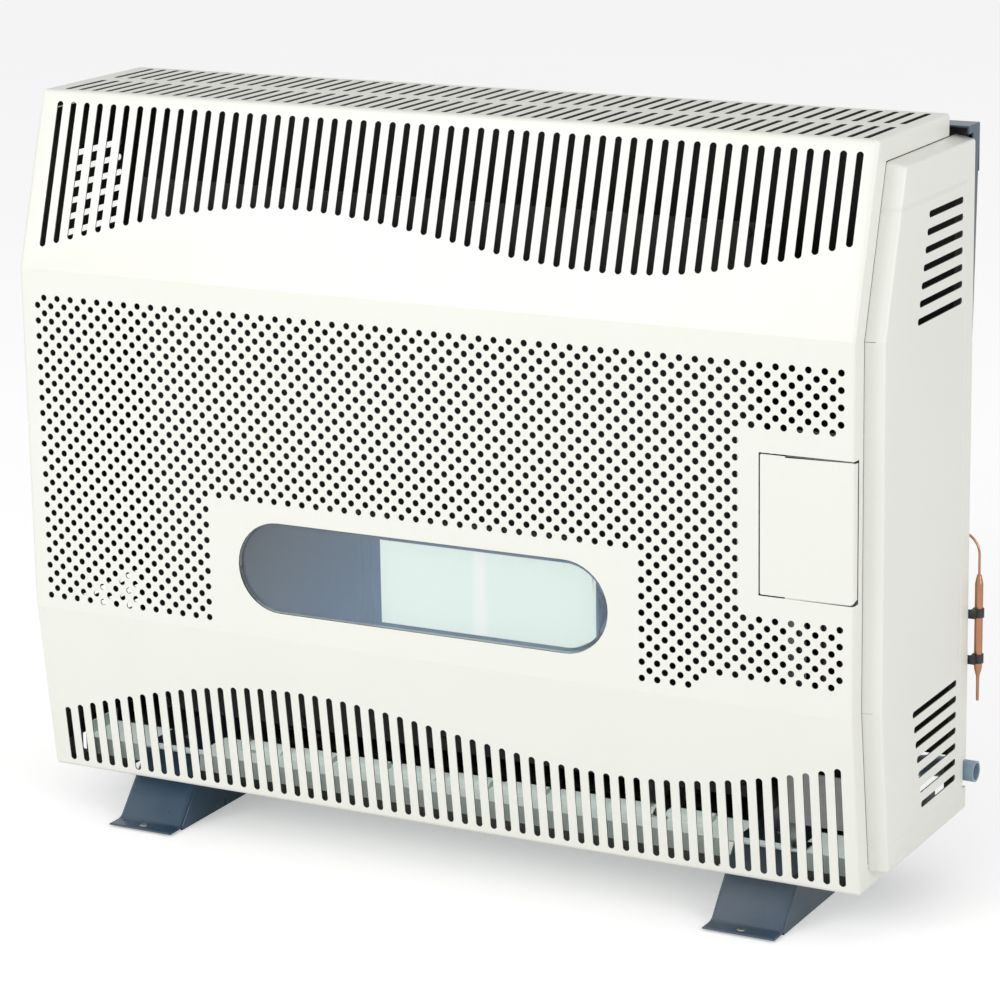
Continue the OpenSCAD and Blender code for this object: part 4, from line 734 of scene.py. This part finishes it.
class HEATER_OT_cover(bpy.types.Operator):
    """Build the folded front cover with its slots, holes and side returns"""
    bl_idname = "heater.cover"
    bl_label = "Front cover"

    def execute(self, context):
        c, h = context.scene.heater_cover, context.scene.heater_holes
        prof = Profile(c)
        line = prof.line
        edge = HALF_WIDTH - c.side_radius
        win_low, win_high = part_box("window_glass")
        window_z = (win_low[2] + win_high[2]) / 2
        win_w, win_h = win_high[0] - win_low[0] + GLASS_ROOM, win_high[2] - win_low[2] + GLASS_ROOM
        door_low, door_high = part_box("control_door")
        door_left, door_z0, door_z1 = door_low[0] - DOOR_GAP, door_low[2] - DOOR_GAP, door_high[2] + DOOR_GAP
        first_x = h.shift - (h.columns - 1) / 2 * h.pitch
        holes, slots = make_hole_tree(), make_slot_tree()
        bm = bmesh.new()
        spans = []
        for i in range(5):
            whole = (line[i + 1] - line[i]).length
            s0 = prof.tangent(i) if i else 0.0
            s1 = whole - (prof.tangent(i + 1) if i < 4 else 0.0)
            spans.append((s0, s1, whole))

        def lay(result, i, flip):
            """Puts a flat result of (x, s) on face i of the cover; flip counts s from the face's end."""
            u, whole = prof.unit(i), spans[i][2]
            add_faces(bm, [place(x, line[i] + u * (whole - s if flip else s)) for x, s, _ in result[0]], result[1])

        def frame_loop(s0, s1):
            return [(-edge, s0), (edge, s0), (edge, s1), (-edge, s1)]

        def slotted(name, i, flip, width, start, end, groups=1, step=0.0, wave=0.0):
            """Lays face i with groups of slots, which start along the wave where wave is 1 or -1."""
            s0, s1, whole = spans[i]
            loop = frame_loop(whole - s1, whole - s0) if flip else frame_loop(s0, s1)
            lay(perforate(name, [loop], slots, {
                "Columns": h.columns, "Pitch": h.pitch, "First X": first_x, "Groups": groups, "Width": width,
                "Start": start, "End": end, "Group step": step, "Tilt": wave * h.wave_tilt,
                "Sine": wave * h.wave_sine, "Cosine": wave * h.wave_cosine,
                "Wave length": (h.columns - 2) * h.pitch}, "cream_enamel"), i, flip)

        vent = (spans[0][2] - VENT_REAR - VENT_BRIDGE - VENT_FRONT) / 2
        slotted("top_vents", 0, False, h.vent_width, VENT_REAR, VENT_REAR + vent, 2, vent + VENT_BRIDGE)
        slotted("upper_slots", 1, True, h.slot_width, h.wave_base, spans[1][2] - SLOTS_TO_TOP, wave=1)
        slotted("lower_slots", 3, False, h.slot_width, h.wave_gap - h.wave_base,
                spans[3][2] - SLOTS_TO_BOTTOM, wave=-1)
        top_z, low_z = line[2][1] - prof.tangent(2), line[3][1] + prof.tangent(3)
        outline = [(-edge, low_z), (edge, low_z), (edge, door_z0), (door_left, door_z0), (door_left, door_z1),
                   (edge, door_z1), (edge, top_z), (-edge, top_z)]
        half = h.pitch / 2
        last = c.upper_fold - h.first_row - (h.rows - 1) * half
        # the lowest row starts so that the first row from the top keeps its half-step
        start = first_x + (-0.5 if (h.rows - 1) % 2 else 0.5) * half
        middle = perforate("middle_face", [outline, stadium(win_w, win_h, window_z)], holes, {
            "Columns": 2 * h.columns, "Rows": h.rows, "Step": half, "First X": start, "Last Z": last,
            "Radius": h.hole_radius, "Window half": win_w / 2 + PLAIN_WINDOW[0],
            "Window top": window_z + win_h / 2 + PLAIN_WINDOW[1], "Door left": door_left - PLAIN_DOOR[0],
            "Door low": door_z0 - PLAIN_DOOR[1], "Door high": door_z1 + PLAIN_DOOR[1],
            "Corner left": HALF_WIDTH - PLAIN_CORNER[0], "Corner top": c.lower_fold + PLAIN_CORNER[1]},
            "cream_enamel")
        add_faces(bm, [Vector((x, FRONT_Y, z)) for x, z, _ in middle[0]], middle[1])
        # bottom return with the feet's notches
        foot_low, foot_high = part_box("foot_right")
        x0, x1 = foot_low[0] - FOOT_ROOM, foot_high[0] + FOOT_ROOM
        notched = [-edge, -x1, -x0, x0, x1, edge]
        for k, (a, b) in enumerate(zip(notched, notched[1:])):
            rows = [spans[4][0], NOTCH_END] + ([] if k in (1, 3) else [spans[4][2]])
            for ends in zip(rows, rows[1:]):
                r0, r1 = (line[4] + prof.unit(4) * r for r in ends)
                add_strip(bm, [place(a, r0), place(b, r0)], [place(a, r1), place(b, r1)])
        # folds, with the bottom one split where the return is
        for i in (1, 2, 3, 4):
            xs = [-edge, edge] if i < 4 else notched
            ring = [p for p, n, k in prof.rounding(i)]
            for a, b in zip(xs, xs[1:]):
                add_strip(bm, [place(a, p) for p in ring], [place(b, p) for p in ring])
        # rear drop of the top
        drop = [line[0], line[0] - Vector((0, REAR_DROP))]
        add_strip(bm, [place(-edge, p) for p in drop], [place(edge, p) for p in drop])
        # side bends and returns
        stations = [(line[0], prof.out(0), 0)]
        for i in (1, 2, 3, 4):
            if i == 3:
                for z in (door_z1, door_z0):
                    stations.append((Vector((line[2][0], z)), prof.out(2), None))
            stations += prof.rounding(i)
        stations.append((line[5], prof.out(4), 5))

        def inner(station, t):
            p, n, i = station
            return p - n * t if i is None else prof.inset(i, t)

        bends = [math.radians(18 * k) for k in range(6)]
        for side in (-1, 1):
            for a, b in zip(stations, stations[1:]):
                rows = []
                for s in (a, b):
                    bend = [(math.sin(w), s[0] - s[1] * c.side_radius * (1 - math.cos(w))) for w in bends]
                    rows.append([place(side * (edge + c.side_radius * out), p) for out, p in bend]
                                + [place(side * HALF_WIDTH, inner(s, t)) for t in (DOOR_CUT, c.flange)])
                if side == 1 and a[2] is None and b[2] is None:      # beside the door's opening
                    rows = [r[-2:] for r in rows]
                add_strip(bm, rows[0], rows[1])
        finish_mesh("front_cover_sheet", bm, c.sheet, "cream_enamel", "casing", ["front_cover"],
                    (0, -1, 0.2), "inner_painted_shade")
        return {"FINISHED"}


def make_pan_enamel(s):
    """The cover's enamel on a pan whose slotted field is pressed in a little along its rear edge."""
    m = bpy.data.materials["cream_enamel"].copy()
    m.name = "pan_enamel"
    t, shader, _ = shader_of(m)
    _, y, z = object_axes(t)
    line = s.press_y
    tall = mul(t, ramp(t, z, s.press_low, s.press_low + 0.004), ramp(t, z, s.press_high, s.press_high - 0.004))
    height = sub(t, 1.0, mul(t, ramp(t, y, line, line - 0.003), tall))
    bumped(t, shader, height, 1.0, s.press_depth, Normal=shader["Normal"].links[0].from_socket)


class HEATER_OT_side_pans(bpy.types.Operator):
    """Build the two side pans with their slots"""
    bl_idname = "heater.side_pans"
    bl_label = "Side pans"

    def execute(self, context):
        c, s = context.scene.heater_cover, context.scene.heater_pans
        prof = Profile(c)
        make_pan_enamel(s)
        slots = bpy.data.node_groups["wave_slots"]
        rear, low, out = -PAN_HIGH[1], PAN_LOW[2], PAN_HIGH[0]
        mouth = (s.inlet_z - s.inlet_room, s.inlet_z + s.inlet_room)
        mouth_d = rear + 0.008         # depth of the notch for the gas inlet
        middle = 0.4                   # height at which the flat is made in two halves
        at_folds = (11, 12, 19, 20)    # quads of the strip that are slit

        def outline(t, raise_low):
            """Loop of the pan's section t inside the cover's line, and which of its points is at mid-height."""
            a, b = prof.inset(3, t), prof.inset(4, t)
            z0 = low + raise_low
            foot = a + (b - a) * ((a[1] - z0) / (a[1] - b[1]))
            top = Vector((rear, prof.inset(0, t)[1]))
            corners = [top, prof.inset(1, t), prof.inset(2, t), a, foot, Vector((rear, z0))]
            points = [corners[0]]
            for i in range(1, 5):
                u, v = (corners[i] - corners[i - 1]).normalized(), (corners[i + 1] - corners[i]).normalized()
                points += [p for p, n in bend(corners[i], u, v, c.fold_radius)]
                if i == 2:
                    front_mid = len(points)
                    points.append(Vector((points[-1][0], middle)))
            inlet = ((rear, mouth[0]), (mouth_d, mouth[0]), (mouth_d, mouth[1]), (rear, mouth[1]), (rear, middle))
            return points + [corners[5]] + [Vector(p) for p in inlet], front_mid

        def runs(z_top, front_end, growth, points):
            """Flat half of the pan with its group of slots, in (z, distance behind the middle face)."""
            depth = -FRONT_Y
            tilt = growth / s.slot_pitch
            first = z_top - (s.slot_count - 1) * s.slot_pitch
            return perforate("pan_slots", [[(p[1], depth - p[0]) for p in points]], slots, {
                "Columns": s.slot_count, "Groups": 1, "Pitch": s.slot_pitch, "First X": first,
                "Width": s.slot_width, "Start": depth - front_end - tilt * z_top, "End": depth - s.slot_rear,
                "Group step": 0.0, "Tilt": tilt, "Sine": 0.0, "Cosine": 0.0, "Wave length": 1.0}, "pan_enamel")

        for side, node in ((1, "side_panel_right"), (-1, "side_panel_left")):
            bm = bmesh.new()
            r = s.edge_radius
            strip = out - HALF_WIDTH - r
            levels = [(s.seam, HALF_WIDTH, 0.0), (s.seam + s.bevel * s.slit, HALF_WIDTH + strip * s.slit, 0.0)]
            for k in range(6):
                a = math.radians(18 * k)
                fall = r * (1 - math.cos(a))
                levels.append((s.seam + s.bevel + fall, out - r + r * math.sin(a), fall))
            loops = []
            for t, x, up in levels:
                pts, mid = outline(t, up)
                loops.append([place(side * x, p) for p in pts])
            for k, (a, b) in enumerate(zip(loops, loops[1:])):
                for i in range(len(a)):
                    if k or i not in at_folds:
                        j = (i + 1) % len(a)
                        add_face(bm, [a[i], a[j], b[j], b[i]])
            upper = pts[-1:] + pts[:mid + 1]
            lower = pts[mid:]
            depth = -FRONT_Y
            for half in (runs(s.upper_slots_z, s.upper_front, s.upper_growth, upper),
                         runs(s.lower_slots_z, s.lower_front, -s.lower_growth, lower)):
                add_faces(bm, [place(side * out, Vector((depth - q[1], q[0]))) for q in half[0]], half[1])
            finish_mesh(node + "_pan", bm, c.sheet, "pan_enamel", "casing", [node],
                        (side, 0, 0), "inner_painted_shade")
        return {"FINISHED"}


def rounded(corners, radii, steps=5):
    """Corners of a polygon, each rounded by its own radius."""
    points = []
    for k, (p, r) in enumerate(zip(corners, radii)):
        p = Vector(p)
        u, v = (p - Vector(corners[k - 1])).normalized(), (Vector(corners[(k + 1) % len(corners)]) - p).normalized()
        if not r:
            points.append(p)
            continue
        g = r * math.tan(u.angle(v) / 2)
        a, b = p - u * g, p + v * g
        centre = a + (v - u * u.dot(v)).normalized() * r
        for j in range(steps + 1):
            w = (a - centre).lerp(b - centre, j / steps).normalized() * r
            points.append(centre + w)
    return points


# the door's and the feet's small distances, in metres
DOOR_SIDE, DOOR_TAPER = 0.0080, 0.0034      # depth of the door's bent edge, and its taper there
DOOR_CORNER = 0.0014                        # radius of the plate's corners
DOOR_FLANGE, FLANGE_SLOPE = 0.007, 0.004    # depth of the returns above and below, and their slope at one end
ROD_ROOM, ROD_HEAD = 0.012, 0.0010          # rod to those returns; the rod's head is wider than the rod
EYE_HEIGHT, EYE_INSET, EYE_SHEET = 0.005, 0.003, 0.0014
FLOOR_LIP = 0.0008                          # a foot's side walls start this high above its toe
FOOT_FADE, FOOT_SKIN = 0.006, 0.0002        # height over which a foot's edge radius grows, and its least
FOOT_DROP = 0.010                           # height of the drop behind a foot's head


class HEATER_OT_door(bpy.types.Operator):
    """Build the control door with its bent edge, returns and hinge eyes"""
    bl_idname = "heater.door"
    bl_label = "Control door"

    def execute(self, context):
        c = context.scene.heater_cover
        low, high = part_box("control_door")
        rod_low, rod_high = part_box("door_hinge_rod")
        edge = HALF_WIDTH - c.side_radius
        bm = bmesh.new()
        z0, z1 = low[2], high[2]
        plate = rounded([(edge, z0), (low[0], z0), (low[0], z1), (edge, z1)],
                        [0, DOOR_CORNER, DOOR_CORNER, 0])
        add_face(bm, [Vector((x, FRONT_Y, z)) for x, z in plate])
        run = [(edge + c.side_radius * math.sin(w), FRONT_Y + c.side_radius * (1 - math.cos(w)), w)
               for w in [math.radians(18 * k) for k in range(6)]]
        run.append((HALF_WIDTH, FRONT_Y + DOOR_SIDE, 2.0))
        rise = [DOOR_TAPER * (w / 2.0) ** 1.3 for x, y, w in run]
        add_strip(bm, [Vector((x, y, z0 + up)) for (x, y, w), up in zip(run, rise)],
                  [Vector((x, y, z1 - up * 0.35)) for (x, y, w), up in zip(run, rise)])
        back = FRONT_Y + DOOR_FLANGE
        x0 = rod_high[0] + ROD_ROOM
        for z in (z0, z1):
            add_face(bm, [Vector((x0, FRONT_Y, z)), Vector((edge, FRONT_Y, z)), Vector((edge, back, z)),
                          Vector((x0 + FLANGE_SLOPE, back, z))])
        finish_mesh("control_door_sheet", bm, c.sheet, "cream_enamel", "door", ["control_door"],
                    (0, -1, 0))
        # hinge eyes curled round the rod
        x, y = (rod_low[0] + rod_high[0]) / 2, (rod_low[1] + rod_high[1]) / 2
        r_in = (rod_high[0] - rod_low[0]) / 2 - ROD_HEAD
        r_out = r_in + EYE_SHEET
        bm = bmesh.new()
        for z in (z0 + EYE_INSET, z1 - EYE_INSET - EYE_HEIGHT):
            turn = [math.radians(a) for a in range(-90, 181, 15)]
            ring = [Vector((x + r_out * math.cos(a), y + r_out * math.sin(a), z)) for a in turn]
            ring += [Vector((x - r_out, FRONT_Y + 0.0006, z)), Vector((x - r_in, FRONT_Y + 0.0006, z))]
            ring += [Vector((x + r_in * math.cos(a), y + r_in * math.sin(a), z)) for a in reversed(turn)]
            top = [p + Vector((0, 0, EYE_HEIGHT)) for p in ring]
            add_strip(bm, ring + ring[:1], top + top[:1])
            for loop in (ring, top):
                add_face(bm, loop)
        finish_mesh("door_hinge_eyes", bm, 0, "cream_enamel", "door", [], (0, 0, 0))
        return {"FINISHED"}


class HEATER_OT_feet(bpy.types.Operator):
    """Build the two pressed feet"""
    bl_idname = "heater.feet"
    bl_label = "Feet"

    def execute(self, context):
        f = context.scene.heater_feet
        for node in ("foot_left", "foot_right"):
            low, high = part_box(node)
            x, w, top = (low[0] + high[0]) / 2, (high[0] - low[0]) / 2, high[2]
            front, rear = -low[1], -high[1]
            knee = Vector((front - f.toe, f.sheet))
            head = Vector((front - f.toe - f.lean, top))
            sole = rounded([(front, f.sheet), knee, head, (rear, top)], [0, f.instep, f.sheet * 1.5, 0], steps=8)
            # outward direction and edge radius at each station
            rows = []
            for k, p in enumerate(sole):
                u = (sole[min(k + 1, len(sole) - 1)] - sole[max(k - 1, 0)]).normalized()
                n = Vector((-u[1], u[0])) * -1
                r = f.edge * min(1.0, max(0.0, (p[1] - f.sheet) / FOOT_FADE)) + FOOT_SKIN
                arc = [math.radians(15 * j) for j in range(7)]
                right = [place(x + w - r + r * math.sin(a), p - n * r * (1 - math.cos(a))) for a in arc]
                left = [Vector((2 * x - q.x, q.y, q.z)) for q in reversed(right)]
                rows.append(left + right)
            bm = bmesh.new()
            for a, b in zip(rows, rows[1:]):
                add_strip(bm, a, b)
            # side walls down to the floor
            for side in (0, -1):
                wall = [r[side] for r in rows if r[side].z > f.sheet + FLOOR_LIP]
                end = wall[0]
                floor = [Vector((end.x, -rear, 0)), Vector((end.x, end.y, 0))]
                add_face(bm, wall + floor)
            # rear drop
            drop = [Vector((x + side * w, -rear, top - FOOT_DROP)) for side in (1, -1)]
            add_face(bm, [rows[-1][0], rows[-1][-1]] + drop)
            finish_mesh(node + "_pressing", bm, f.sheet, "slate_enamel", "casing", [node],
                        (0, -1, 0.5), even=False)
        return {"FINISHED"}


class HEATER_OT_louvres(bpy.types.Operator):
    """Build the louvres pressed up over the tray's openings"""
    bl_idname = "heater.louvres"
    bl_label = "Tray louvres"

    def execute(self, context):
        t = context.scene.heater_tray
        low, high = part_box("base_tray")
        z, r = high[2] - t.rim + 0.0002, t.reach / 2
        bm = bmesh.new()
        for column in range(-4, 5):
            for row in range(3):
                x, y = column * t.pitch, high[1] - t.back - row * t.row
                side = [(-r, 0.0), (-0.6 * r, 0.7 * t.rise), (-0.2 * r, t.rise), (r, t.rise)]
                ends = [[Vector((x + s * t.across / 2, y + a, z + b)) for a, b in side] for s in (-1, 1)]
                add_strip(bm, ends[0], ends[1])
                for end in ends:
                    add_face(bm, end + [Vector((end[0].x, y + r, z))])
        # the louvres take the tray's material, so those behind the pale strip get its painted shade and those in it
        # its painted glow
        finish_mesh("tray_louvres", bm, t.louvre_sheet, "tray_enamel_with_painted_light_and_shade", "casing", [],
                    (0, 0, 1), even=False)
        return {"FINISHED"}


# ------------------------------------------------------------------ stage
class HEATER_OT_stage(bpy.types.Operator):
    """Set up the camera, lights, floor and background"""
    bl_idname = "heater.stage"
    bl_label = "Stage"

    def execute(self, context):
        scene = context.scene
        scene.view_settings.view_transform = "Standard"
        data = bpy.data.cameras.new("camera")
        data.lens, data.sensor_width, data.sensor_fit = 128.19, 36.0, "HORIZONTAL"
        data.shift_x, data.shift_y = 0.03, -0.06
        data.clip_start, data.clip_end = 0.1, 50.0
        camera = new_object("camera", data)
        right, up = (0.88101, 0.47275, -0.01835), (-0.09649, 0.21751, 0.97128)
        backward = (0.46316, -0.85393, 0.23724)
        turn = Matrix((right, up, backward)).transposed().to_4x4()
        camera.matrix_world = Matrix.Translation((1.47463, -2.74832, 1.14087)) @ turn
        scene.camera = camera

        for name, at, target, size, power in (
                ("key", (-1.5, -3.2, 1.6), (0, 0, 0.35), 2.2, 49.0),
                ("side", (3.4, -1.3, 1.5), (0.4, 0, 0.35), 1.8, 30.0),
                ("top", (0.2, -0.3, 3.4), (0, 0, 0.3), 2.4, 4.0)):
            lamp = bpy.data.lights.new(name, "AREA")
            lamp.shape, lamp.size, lamp.energy = "DISK", size, power
            obj = new_object(name, lamp)
            obj.location = at
            obj.rotation_euler = (Vector(target) - Vector(at)).to_track_quat("-Z", "Y").to_euler()

        world = bpy.data.worlds.new("studio")
        scene.world = world
        world.use_nodes = True
        t = world.node_tree
        path = add_node(t, "ShaderNodeLightPath").outputs
        seen = maths(t, "MAXIMUM", path["Is Camera Ray"], path["Is Transmission Ray"])
        feed(t, t.nodes["Background"].inputs,
             {"Color": (1, 1, 1, 1), "Strength": ramp(t, seen, 0.0, 1.0, 0.62, 1.0)})

        mesh = bpy.data.meshes.new("floor")
        mesh.from_pydata([(-9, -9, 0), (9, -9, 0), (9, 9, 0), (-9, 9, 0)], [], [(0, 1, 2, 3)])
        floor = new_object("floor", mesh)
        m, t, s = start_material("studio_floor")
        p = object_point(t)
        seen = add_node(t, "ShaderNodeLightPath").outputs["Is Camera Ray"]
        feed(t, s, {"Base Color": mix(t, noise(t, p, 3.0), (0.86, 0.86, 0.86, 1), (0.88, 0.88, 0.88, 1)),
                    "Roughness": ramp(t, noise(t, p, 40.0), 0.3, 0.7, 0.7, 0.8), "Specular IOR Level": 0.1,
                    "Emission Color": (1, 1, 1, 1), "Emission Strength": mul(t, seen, 0.35)})
        mesh.materials.append(m)
        return {"FINISHED"}


class HEATER_PT_panel(bpy.types.Panel):
    """Lists the heater's pieces"""
    bl_idname = "HEATER_PT_panel"
    bl_label = "Gas heater"
    bl_space_type = "VIEW_3D"
    bl_region_type = "UI"
    bl_category = "Heater"

    def draw(self, context):
        for name in SETTINGS:
            group = getattr(context.scene, name)
            box = self.layout.box()
            for key in group.bl_rna.properties.keys():
                if key not in ("rna_type", "name"):
                    box.prop(group, key)
        for op in STEPS:
            self.layout.operator(op)


SETTINGS = {"heater_cover": HEATER_PG_cover, "heater_holes": HEATER_PG_holes, "heater_pans": HEATER_PG_pans,
            "heater_feet": HEATER_PG_feet, "heater_tray": HEATER_PG_tray, "heater_colours": HEATER_PG_colours}
CLASSES = (*SETTINGS.values(), HEATER_OT_finishes, HEATER_OT_cover, HEATER_OT_side_pans, HEATER_OT_door,
           HEATER_OT_feet, HEATER_OT_louvres, HEATER_OT_stage, HEATER_PT_panel)
STEPS = ("heater.finishes", "heater.cover", "heater.side_pans", "heater.door", "heater.feet", "heater.louvres",
         "heater.stage")


def register():
    for c in CLASSES:
        bpy.utils.register_class(c)
    for name, group in SETTINGS.items():
        setattr(bpy.types.Scene, name, PointerProperty(type=group))


def unregister():
    for name in SETTINGS:
        delattr(bpy.types.Scene, name)
    for c in reversed(CLASSES):
        bpy.utils.unregister_class(c)


def main():
    register()
    for step in STEPS:
        group, name = step.split(".")
        getattr(getattr(bpy.ops, group), name)()


if __name__ == "__main__":
    main()
